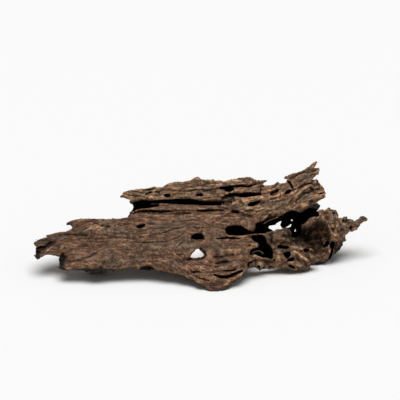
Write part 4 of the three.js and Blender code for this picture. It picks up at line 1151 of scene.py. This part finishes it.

# Paler and darker places, darker below 0: some are worn places and stains, many are painted
# highlight on lit edges, ridges and the lit wall of the bowl, and painted shade in pits, slots,
# recesses and under edges and lobes
stainsAndPaintedLight = [
    (0.3, 5, [(78, 222.5), (100, 221.5), (124, 221.5)]), (0.5, 2, [(80.5, 223.2), (82, 223)]),
    (0.5, 2, [(86.5, 223.5), (88, 223.3)]),
    (0.7, 2.6, [(83, 232.4), (90, 228.4), (96, 225.8), (103, 228.8)]),
    (0.6, 4.5, [(91, 228.6), (97, 226.4), (104, 230)]), (-0.35, 3, [(72, 234.4), (84, 235), (89, 237)]),
    (-0.16, 34, [(50, 245), (115, 246)]), (0.4, 1.2, [(90, 234.6), (87.4, 238.4), (88.8, 243), (91, 248)]),
    (0.9, 1.2, [(36, 249.2), (40.6, 247.4)]), (0.25, 8, [(98, 233), (110, 233)]),
    (0.3, 7, [(58, 243.5), (80, 242)]), (0.9, 1.5, [(45.6, 252.8), (48, 250.4), (52.6, 247)]),
    (0.3, 4, [(50, 251), (56, 247)]), (0.9, 1.5, [(60, 249.8), (63.2, 247)]),
    (0.25, 8, [(68, 254), (84, 253)]), (0.25, 9, [(74, 265), (94, 262)]),
    (0.3, 3, [(104, 268), (114, 268.4)]), (0.25, 9, [(100, 252), (112, 246), (126, 243)]),
    (0.25, 5, [(135, 217.5), (170, 217), (220, 217)]), (0.3, 5, [(184, 267), (206, 270)]),
    (0.25, 7, [(207, 262), (210, 252), (209, 242)]), (0.25, 6, [(205, 222), (225, 220), (242, 221)]),
    (0.3, 4, [(240, 200), (262, 198.5)]), (0.3, 6, [(240, 210), (270, 206)]),
    (0.25, 6, [(262, 191), (282, 187)]), (0.25, 5, [(150, 198), (180, 197.5), (215, 197.5)]),
    (0.25, 4, [(226, 182), (250, 181)]), (0.3, 3, [(286, 203), (294, 197), (308, 187)]),
    (0.3, 3.5, [(284, 209), (297, 204), (316, 198.5)]), (0.35, 3, [(252, 244.5), (257.5, 244)]),
    (0.8, 1.2, [(254, 254.8), (262, 258), (268.5, 259.8)]), (0.5, 7, [(277, 245), (277, 268)]),
    (-0.45, 4, [(254, 261), (262, 260.6), (272, 262.6)]), (-0.3, 4, [(286, 249), (296, 257), (297, 263)]),
    (0.9, 1.5, [(283.2, 239), (285, 239)]), (0.8, 1.6, [(287.6, 241), (289.6, 241.4)]),
    (0.9, 1.5, [(293, 251), (300, 255), (307, 260.6)]), (0.4, 3, [(294, 248), (302, 249)]),
    (0.45, 2.4, [(303.5, 226.5), (308, 223.5), (313, 219)]),
    (0.5, 1.5, [(322, 217.5), (328, 226), (333, 234)]),
    (0.45, 1.6, [(324, 217.9), (327.6, 223.7), (330.5, 230.1), (332, 235), (331, 240)]),
    (0.4, 1.8, [(334, 234), (340, 238)]), (0.2, 8, [(325, 213), (334, 216)]),
    (0.7, 1.5, [(223, 286.6), (229.6, 282), (243, 273.4)]), (0.6, 1.8, [(225, 285), (227, 284)]),
    (0.4, 2, [(300, 177), (304, 178.5)]), (0.5, 2, [(316, 172), (318, 170.5)]),
    (0.4, 1.8, [(330, 249), (329, 256), (322, 262)]), (0.2, 6, [(262, 265), (285, 264)]),
    (0.2, 8, [(230, 248), (246, 252)]), (-0.95, 6, [(78, 271.6), (93, 272), (110, 272)]),
    (-0.85, 2.6, [(100.4, 266.6), (101, 270)]), (-0.6, 2.4, [(104, 270), (116, 270.4)]),
    (-0.85, 5.5, [(63, 254), (62, 260), (60, 272)]), (-0.6, 6, [(40, 248), (37, 253), (36, 263)]),
    (-0.65, 4, [(46, 246.8), (50, 244), (55, 241)]), (-0.7, 1.5, [(42, 247.2), (45, 248.5)]),
    (-0.4, 5, [(37, 250), (38, 256)]), (-0.3, 6, [(38, 243), (48, 240.5)]),
    (-0.3, 8, [(108, 262.5), (116, 262)]), (-0.25, 7, [(132, 257), (140, 254)]),
    (-0.9, 2.2, [(65.6, 224.8), (69, 224.8), (72.4, 227)]),
    (-0.8, 2.2, [(129, 215.5), (133, 210), (133.5, 206), (130.5, 201.6)]),
    (-0.7, 1.4, [(122, 197.4), (129, 199.8)]), (-0.3, 7, [(133, 200), (143, 198)]),
    (-0.3, 6, [(306, 172), (309, 180)]), (-0.3, 6, [(302, 197), (310, 192)]),
    (-0.5, 5.5, [(225, 203), (227.5, 199.5), (233, 199)]),
    (-0.85, 5, [(309.5, 208.6), (314, 206.6), (318.4, 206)]), (-0.6, 3, [(318.4, 204), (318.6, 209)]),
    (-0.65, 5, [(336, 244.4), (335.6, 251)]),
    (-0.85, 2.2, [(331.5, 256.5), (328, 260), (322, 263), (315, 264.4)]),
    (-0.9, 2.6, [(345.4, 241), (342, 245), (338.4, 250.4), (333, 255)]),
    (-0.5, 4, [(350.4, 227), (351, 229.5)]), (-0.6, 2.2, [(343, 221.4), (345, 221)]),
    (-0.85, 6, [(304, 231), (299, 236), (296, 241)]), (-0.5, 4, [(292, 240), (297, 244), (304, 246)]),
    (0.5, 7, [(322, 222), (326, 232), (324, 241)]), (0.2, 8, [(313, 234), (315, 242)]),
    (0.25, 9, [(336, 222), (346, 226), (356, 224)]),
    (0.5, 5, [(320, 219), (330, 222), (333, 230), (334, 240)]),
    (-0.7, 5, [(304, 225), (309, 229.6), (310, 232)]),
    (-0.6, 4.5, [(307.6, 251.4), (312, 252.6), (317, 253)]), (-0.5, 3, [(311, 262), (321, 263)]),
    (0.5, 5, [(278, 257), (282, 262), (284, 265)]), (0.3, 4, [(294, 264), (304, 268)]),
    (-0.5, 4, [(275, 248), (276, 254)]), (-0.7, 2, [(286.4, 257), (288.4, 260.6)]),
    (-0.4, 4, [(303, 247), (308, 248)]), (0.5, 5, [(316, 247.4), (321, 248.6)]),
    (-0.5, 2, [(256, 228), (262, 224.6), (270, 220), (279, 216.6)]), (-0.4, 6, [(277, 231), (282, 236)]),
    (-0.3, 6, [(284, 231), (290, 235)]), (-0.6, 2, [(283, 236.6), (288, 238)]),
    (-0.5, 3, [(291, 239), (291, 245)]), (-0.25, 9, [(262, 242), (276, 254), (284, 263)]),
    (-0.15, 8, [(288, 250), (300, 262)]), (0.8, 1.8, [(305.2, 258.2), (307.6, 261)]),
    (-0.6, 1.4, [(250, 254.6), (255.8, 251.6), (258.3, 251.2), (261, 252), (263.6, 254.4)]),
    (-0.4, 3, [(247.5, 264), (249, 267)]),
    (-0.8, 1.8, [(203.8, 251.6), (205.6, 254.6), (205, 257.4), (199, 259)]),
    (-0.8, 3.5, [(37.5, 249.4), (41, 248.6), (45, 248)]), (-0.85, 3, [(141, 268.8), (153, 268.6)]),
    (0.3, 3, [(304, 247), (312, 246.2), (320, 247.4)]), (-0.25, 4, [(311, 251.6), (319, 252.6)]),
    (-0.5, 3, [(271.6, 232), (271, 242)]), (0.4, 1.2, [(275, 230.6), (274.8, 241)]),
    (-0.8, 2.4, [(311, 188.4), (313, 191)]), (0.9, 1.6, [(220, 184.4), (222.6, 186)]),
    (0.5, 1.2, [(290, 203.4), (297, 199.2), (306, 194.6)]),
    (0.5, 1.2, [(284, 207), (293, 202.4), (300, 200.6)]),
    (0.5, 1.2, [(298, 206.6), (306, 202.4), (314, 198.4)]),
    (0.5, 1, [(302, 207), (310, 202.6), (321, 197.4)]),
    (0.4, 1.2, [(264, 204.6), (272, 201.6), (282, 197.6)]), (0.4, 1, [(314, 195.4), (323, 194.8)]),
    (-0.4, 5, [(285, 229), (290, 234)]),
    (-0.7, 1.5, [(158, 271.6), (178, 276.4), (190, 280.4), (205, 288)]),
    (-0.4, 3, [(215, 257.6), (222, 257.4)]), (-0.4, 3, [(218, 263.2), (226, 262.4)]),
    (-0.45, 4, [(264, 226), (266, 231)]), (-0.4, 3, [(288.6, 234), (290, 238)]),
]

# Where the wood has weathered grey; the last stroke is the pale lit edge of the lip in the ragged
# opening, a painted highlight
greys = [
    (0.5, 10, [(150, 230), (170, 226)]), (0.4, 10, [(150, 245), (175, 244), (195, 243)]),
    (0.6, 9, [(100, 262), (115, 264), (125, 262)]), (0.6, 7, [(118, 234), (128, 232)]),
    (0.6, 8, [(130, 256), (145, 258)]), (0.5, 5, [(165, 208), (190, 208)]),
    (0.8, 6, [(308, 172), (309, 181)]), (0.6, 7, [(298, 202), (310, 194)]),
    (0.5, 6, [(272, 206), (285, 204)]), (0.4, 9, [(328, 214), (336, 222)]),
    (0.5, 8, [(340, 226), (350, 224), (362, 219)]), (0.6, 7, [(335, 244), (335, 250)]),
    (0.5, 6, [(55, 236), (60, 238)]), (0.5, 6, [(226, 200), (230, 200)]),
    (0.5, 7, [(100, 225), (116, 224)]), (0.4, 8, [(222, 228), (214, 250)]),
    (0.9, 1.8, [(220, 184.4), (222.6, 186)]),
    (0.9, 1.6, [(250, 254.6), (255.8, 251.6), (258.3, 251.2), (261, 252), (263.6, 254.4)]),
    (0.7, 1.6, [(253, 254.8), (258, 257), (263, 258.6), (269, 259.8)]),
]

# Painted shade along the lower edge of the wood, where the surface turns under
lowerEdgeShade = [(-0.6, 2.2, outline[outline.index((345.3, 238)):])]


# painted shade: near black on the wood that lies behind the rim of each deep hole and of the cave's mouth
def paintedShadeInside(view, dark):
    shade = np.zeros(len(view))
    for plane, edge in dark:
        grown = edge + (edge - edge.mean(axis=0)) * paint["darkGrown"]
        near = nearSpots(view, grown)
        near = near[insideOf(grown, view[near, :2])]
        below = view[near, 2] - view[near, :2] @ plane[:2] - plane[2]
        depth = ease(below, *paint["darkFrom"]) * (1 - ease(below, *paint["darkTo"]))
        shade[near] = np.maximum(shade[near], depth)
    return shade


def paintAttributes(skin, dark):
    view = seenAt(spotsOf(skin))
    flow = mix(flowOf(view), burlFlowOf(view), (burlShare(view) > 0.5)[:, None].astype(float))
    cavity = sum(hollowness(skin, rounds) * share for rounds, share in paint["cavityRounds"])
    # what is painted from the front stays off the back of the wood
    front = ease(normalsOf(skin) @ toEye, *paint["front"])
    crack = valuesOf(skin.data.attributes["crack"].data, "value", 1)[:, 0]
    setAttribute(skin, "flow", flow * mm, "FLOAT_VECTOR")
    # cavity: the colour is lighter on ridges and darker in hollows, painted highlight and painted shade
    setAttribute(skin, "cavity", np.clip(cavity, *paint["cavity"]))
    # open darkens the colour in crevices: painted shade
    setAttribute(skin, "open", openness(skin))
    # painted shade, near black, inside deep holes and the cave and on the floors of deep grooves
    setAttribute(skin, "shade", np.maximum(paintedShadeInside(view, dark) * front, crack))
    # tone: painted highlight and painted shade on many strokes and along the lower edge, beside stains and
    # wear
    setAttribute(skin, "tone", np.clip(strokesAt(view, stainsAndPaintedLight + lowerEdgeShade) * front, *paint["tone"]))
    setAttribute(skin, "grey", np.clip(strokesAt(view, greys) * front, 0, 1))
    setAttribute(skin, "rough", np.clip(1 - strokesAt(view, calms) * paint["roughShare"], *paint["rough"]))


def splitAtForks(skin):
    # each face goes to the node that it lies on
    centres = valuesOf(skin.data.polygons, "center")
    gaps = []
    for part in parts:
        tree = treeOf([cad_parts[part["node"]]])
        gaps.append([tree.find_nearest(Vector(spot))[3] for spot in centres])
    owner = np.argmin(np.array(gaps), axis=0)
    pieces = []
    for index, part in enumerate(parts):
        selectOnly(skin)
        bpy.ops.object.duplicate()
        piece = bpy.context.active_object
        piece.name = part["node"].replace("_", "-") + "-wood"
        piece.data.polygons.foreach_set("select", owner != index)
        bpy.ops.object.mode_set(mode="EDIT")
        bpy.ops.mesh.select_mode(type="FACE")
        bpy.ops.mesh.delete(type="FACE")
        bpy.ops.mesh.select_all(action="SELECT")
        bpy.ops.mesh.fill_holes(sides=0)
        bpy.ops.mesh.select_all(action="SELECT")
        bpy.ops.mesh.quads_convert_to_tris()
        bpy.ops.object.mode_set(mode="OBJECT")
        pieces.append(piece)
        print("piece", piece.name, len(piece.data.polygons), "triangles")
    bpy.data.objects.remove(skin)
    return pieces


def linear(hexColour):
    channels = [int(hexColour[i:i + 2], 16) / 255 for i in (1, 3, 5)]
    return [c / 12.92 if c <= 0.04045 else ((c + 0.055) / 1.055) ** 2.4 for c in channels] + [1]


def addNode(tree, kind, settings, stops=()):
    # a setting names a property or a socket, and a socket as its value is linked. The stops of a
    # ramp are places with a hex colour or a grey.
    node = tree.nodes.new(kind)
    for key, value in settings.items():
        if isinstance(value, bpy.types.NodeSocket):
            tree.links.new(value, node.inputs[key])
        elif isinstance(key, str) and hasattr(node, key):
            setattr(node, key, value)
        else:
            node.inputs[key].default_value = value
    for _ in stops[2:]:
        node.color_ramp.elements.new(0.5)
    for index, (place, colour) in enumerate(stops):
        element = node.color_ramp.elements[index]
        element.position = place
        element.color = linear(colour) if isinstance(colour, str) else (colour, colour, colour, 1)
    return node


# The finish of the wood. Patterns: length along the grain and width over it in mm, detail and
# roughness of their noise. Fibre and thread are drawn coarser than real ones, so that they show.
# Each ramp has the pattern that feeds it and its stops, and a range goes from its first pair of
# values to its second.
finish = {
    "patterns": {
        "mottle": (8.5, 4.4, 4, 0.65),
        "fibre": (13, 1.3, 3, 0.55),
        "band": (80, 9, 3, 0.55),
        "patch": (60, 26, 2, 0.55),
        "hue": (24, 10, 3, 0.55),
        "grit": (3.2, 2.2, 2, 0.7),
        "thread": (7, 1.0, 3, 0.55),
    },
    "ramps": {
        "patch": ("patch", [(0.5, 0), (0.68, 0.3)]),
        "hue": ("hue", [(0.38, "#fff2e6"), (0.62, "#f2f6f4")]),
        "fibre": ("fibre", [(0.3, 0.75), (0.7, 1.2)]),
        "grit": ("grit", [(0.28, 0.42), (0.72, 1.6)]),
        "band": ("band", [(0.3, 0.8), (0.7, 1.16)]),
    },
    "brownStops": (0.32, 0.5, 0.68),
    "greyStops": (0.28, 0.72),
    # the cavity range paints highlight on ridges and shade in hollows, and the open range paints shade in
    # crevices
    "ranges": {
        "cavity": (-0.7, 0.9, 1.4, 0.35),
        "open": (0.12, 0.72, 0.12, 1.12),
        "gloss": (0, 0.6, 0.2, 0),
        "dull": (0.3, 0.7, 0.95, 0.7),
    },
    # the colour of the painted shade inside holes and cracks
    "paintedShadeInside": "#070504",
    "bumpStrength": 0.9,
    "bumpDepth": 0.4 * mm,
}


def weatheredWood(part):
    # weathered mangrove wood, bare and dried: brown, lighter on the ridges and darker in the
    # hollows and crevices as painted highlight and painted shade, near black in the cracks and
    # holes as painted shade, with no gloss
    material = bpy.data.materials.new("weathered mangrove " + part["node"].replace("_", " "))
    material.use_nodes = True
    tree = material.node_tree
    tree.nodes.clear()
    painted = {}
    for name in ("flow", "cavity", "open", "shade", "tone", "grey", "rough"):
        attribute = addNode(tree, "ShaderNodeAttribute", {"attribute_name": name})
        painted[name] = attribute.outputs["Vector" if name == "flow" else "Fac"]
    pattern = {}
    for name, (along, over, detail, rough) in finish["patterns"].items():
        scale = [1 / (size * mm) for size in (along, over, over)]
        mapping = addNode(tree, "ShaderNodeMapping", {"Scale": scale, "Vector": painted["flow"]})
        noise = addNode(tree, "ShaderNodeTexNoise", {
            "Vector": mapping.outputs["Vector"], "Scale": 1, "Detail": detail, "Roughness": rough})
        pattern[name] = noise.outputs["Fac"]
    ramps = {
        "brown": ("mottle", list(zip(finish["brownStops"], part["brown"]))),
        "grey": ("mottle", list(zip(finish["greyStops"], part["grey"]))),
        **finish["ramps"],
    }
    shown = {}
    for name, (feed, stops) in ramps.items():
        shown[name] = addNode(tree, "ShaderNodeValToRGB", {"Fac": pattern[feed]}, stops).outputs["Color"]
    ranged = {}
    for name, feed in (("cavity", painted["cavity"]), ("open", painted["open"]),
                       ("gloss", painted["shade"]), ("dull", pattern["fibre"])):
        ends = dict(enumerate(finish["ranges"][name], 1))
        ranged[name] = addNode(tree, "ShaderNodeMapRange", {0: feed, **ends}).outputs[0]

    greyShare = addNode(tree, "ShaderNodeMath", {
        "operation": "MAXIMUM", 0: shown["patch"], 1: painted["grey"]}).outputs[0]
    colour = shown["brown"]
    for kind, share, name in (
            ("MIX", greyShare, "grey"), ("MULTIPLY", 1, "hue"), ("MULTIPLY", painted["rough"], "fibre"),
            ("MULTIPLY", painted["rough"], "grit"), ("MULTIPLY", 1, "band")):
        colour = addNode(tree, "ShaderNodeMix", {
            "data_type": "RGBA", "blend_type": kind, 0: share, 6: colour, 7: shown[name]}).outputs[2]
    # tone, cavity and open scale the colour: painted highlight and painted shade, beside the stains and
    # wear in tone
    strength = addNode(tree, "ShaderNodeMath", {"operation": "ADD", 0: painted["tone"], 1: 1}).outputs[0]
    for name in ("cavity", "open"):
        strength = addNode(tree, "ShaderNodeMath", {
            "operation": "MULTIPLY", 0: strength, 1: ranged[name]}).outputs[0]
    lifted = addNode(tree, "ShaderNodeVectorMath", {"operation": "SCALE", 0: colour, "Scale": strength})
    # painted shade, near black, where the shade attribute is set
    dark = addNode(tree, "ShaderNodeMix", {
        "data_type": "RGBA", 0: painted["shade"], 6: lifted.outputs[0], 7: linear(finish["paintedShadeInside"])})
    height = addNode(tree, "ShaderNodeMath", {"operation": "ADD", 0: pattern["thread"], 1: pattern["grit"]})
    bump = addNode(tree, "ShaderNodeBump", {
        "Strength": finish["bumpStrength"], "Distance": finish["bumpDepth"], "Height": height.outputs[0]})
    shader = addNode(tree, "ShaderNodeBsdfPrincipled", {
        "Base Color": dark.outputs[2], "Specular IOR Level": ranged["gloss"], "Roughness": ranged["dull"],
        "Normal": bump.outputs["Normal"]})
    addNode(tree, "ShaderNodeOutputMaterial", {"Surface": shader.outputs["BSDF"]})
    return material


# Floor, light and camera
stage = {
    "floor": 12,
    "floorTone": "#f4f4f4",
    "floorRoughness": 0.9,
    "floorGloss": 0.1,
    "world": 0.28,
    "sun": 2.48,
    "sunSpread": 54,
    "sunAt": (0, 0, 1.5),
    "sunTurn": (5, -1, 0),
    "glow": 38,
    "glowAt": (-0.012, 0.05, 0),
    "glowFrom": (-0.012, 0.605, 0.2),
    "glowSpread": 4.6,
    "glowBlend": 1,
    "glowSize": 0.01,
}


def turnedTo(way):
    return Vector(way).to_track_quat("-Z", "Y").to_euler()


def makeStage():
    bpy.ops.mesh.primitive_plane_add(size=stage["floor"], location=(0, 0, 0))
    floor = bpy.context.active_object
    floor.name = "floor"
    # matt paint, so pale that the floor runs into the background
    material = bpy.data.materials.new("pale matt paint")
    material.use_nodes = True
    shader = material.node_tree.nodes["Principled BSDF"]
    shader.inputs["Base Color"].default_value = linear(stage["floorTone"])
    shader.inputs["Roughness"].default_value = stage["floorRoughness"]
    shader.inputs["Specular IOR Level"].default_value = stage["floorGloss"]
    floor.data.materials.append(material)
    world = bpy.data.worlds.new("studio")
    world.use_nodes = True
    background = world.node_tree.nodes["Background"]
    background.inputs["Color"].default_value = (1, 1, 1, 1)
    background.inputs["Strength"].default_value = stage["world"]
    bpy.context.scene.world = world
    bpy.ops.object.light_add(type="SUN", location=stage["sunAt"])
    sun = bpy.context.active_object
    sun.data.energy = stage["sun"]
    sun.data.angle = math.radians(stage["sunSpread"])
    sun.rotation_euler = [math.radians(turn) for turn in stage["sunTurn"]]
    # light from behind that reaches the floor under the wood
    bpy.ops.object.light_add(type="SPOT", location=stage["glowFrom"])
    glow = bpy.context.active_object
    glow.data.energy = stage["glow"]
    glow.data.spot_size = math.radians(stage["glowSpread"])
    glow.data.spot_blend = stage["glowBlend"]
    glow.data.shadow_soft_size = stage["glowSize"]
    glow.rotation_euler = turnedTo(Vector(stage["glowAt"]) - Vector(stage["glowFrom"]))
    bpy.context.scene.view_settings.view_transform = "Standard"


def makeCamera():
    bpy.ops.object.camera_add(location=Vector(eyeSpot))
    camera = bpy.context.active_object
    camera.rotation_euler = turnedTo(-toEye)
    camera.data.lens = eye["lens"]
    bpy.context.scene.camera = camera


makeStage()
makeCamera()
print("stage set")

copies = copyNodes()
tree = treeOf(copies)
solids, dark = holeSolids(tree)
hollows = united(solids, "hollows")
mouth = caveSolid(cave["mouth"])
deepCave = caveSolid(cave["back"])
hollowBowl = bowlSolid()
ends = united(sliverSolids(tree), "slivers")
for copy in copies:
    cutWith(copy, [hollows, deepCave, hollowBowl], "DIFFERENCE")
whole = outlineSolid()
cutWith(whole, [hollows, mouth], "DIFFERENCE")
print("holes cut")

skin = joined(copies + rimSolids(tree) + branchSolids(), "wood")
remeshed(skin, wood["roughVoxel"])
smoothSkin(skin, wood["roughRounds"])
modelForms(skin)
print("forms modelled", len(skin.data.vertices), "points")

remeshed(skin, wood["voxel"])
smoothSkin(skin, wood["fineRounds"])
carveGrain(skin)
carveStrokes(skin)
cutWith(skin, [whole], "INTERSECT")
cutWith(skin, [ends], "UNION")
for solid in (whole, hollows, mouth, deepCave, hollowBowl, ends):
    bpy.data.objects.remove(solid)
print("grain carved", len(skin.data.vertices), "points")
paintAttributes(skin, dark)
print("tones painted")

for piece, part in zip(splitAtForks(skin), parts):
    piece.data.materials.clear()
    piece.data.materials.append(weatheredWood(part))
    selectOnly(piece)
    bpy.ops.object.shade_smooth()
    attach(piece, "root")
    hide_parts(part["node"])
print("pieces dressed")
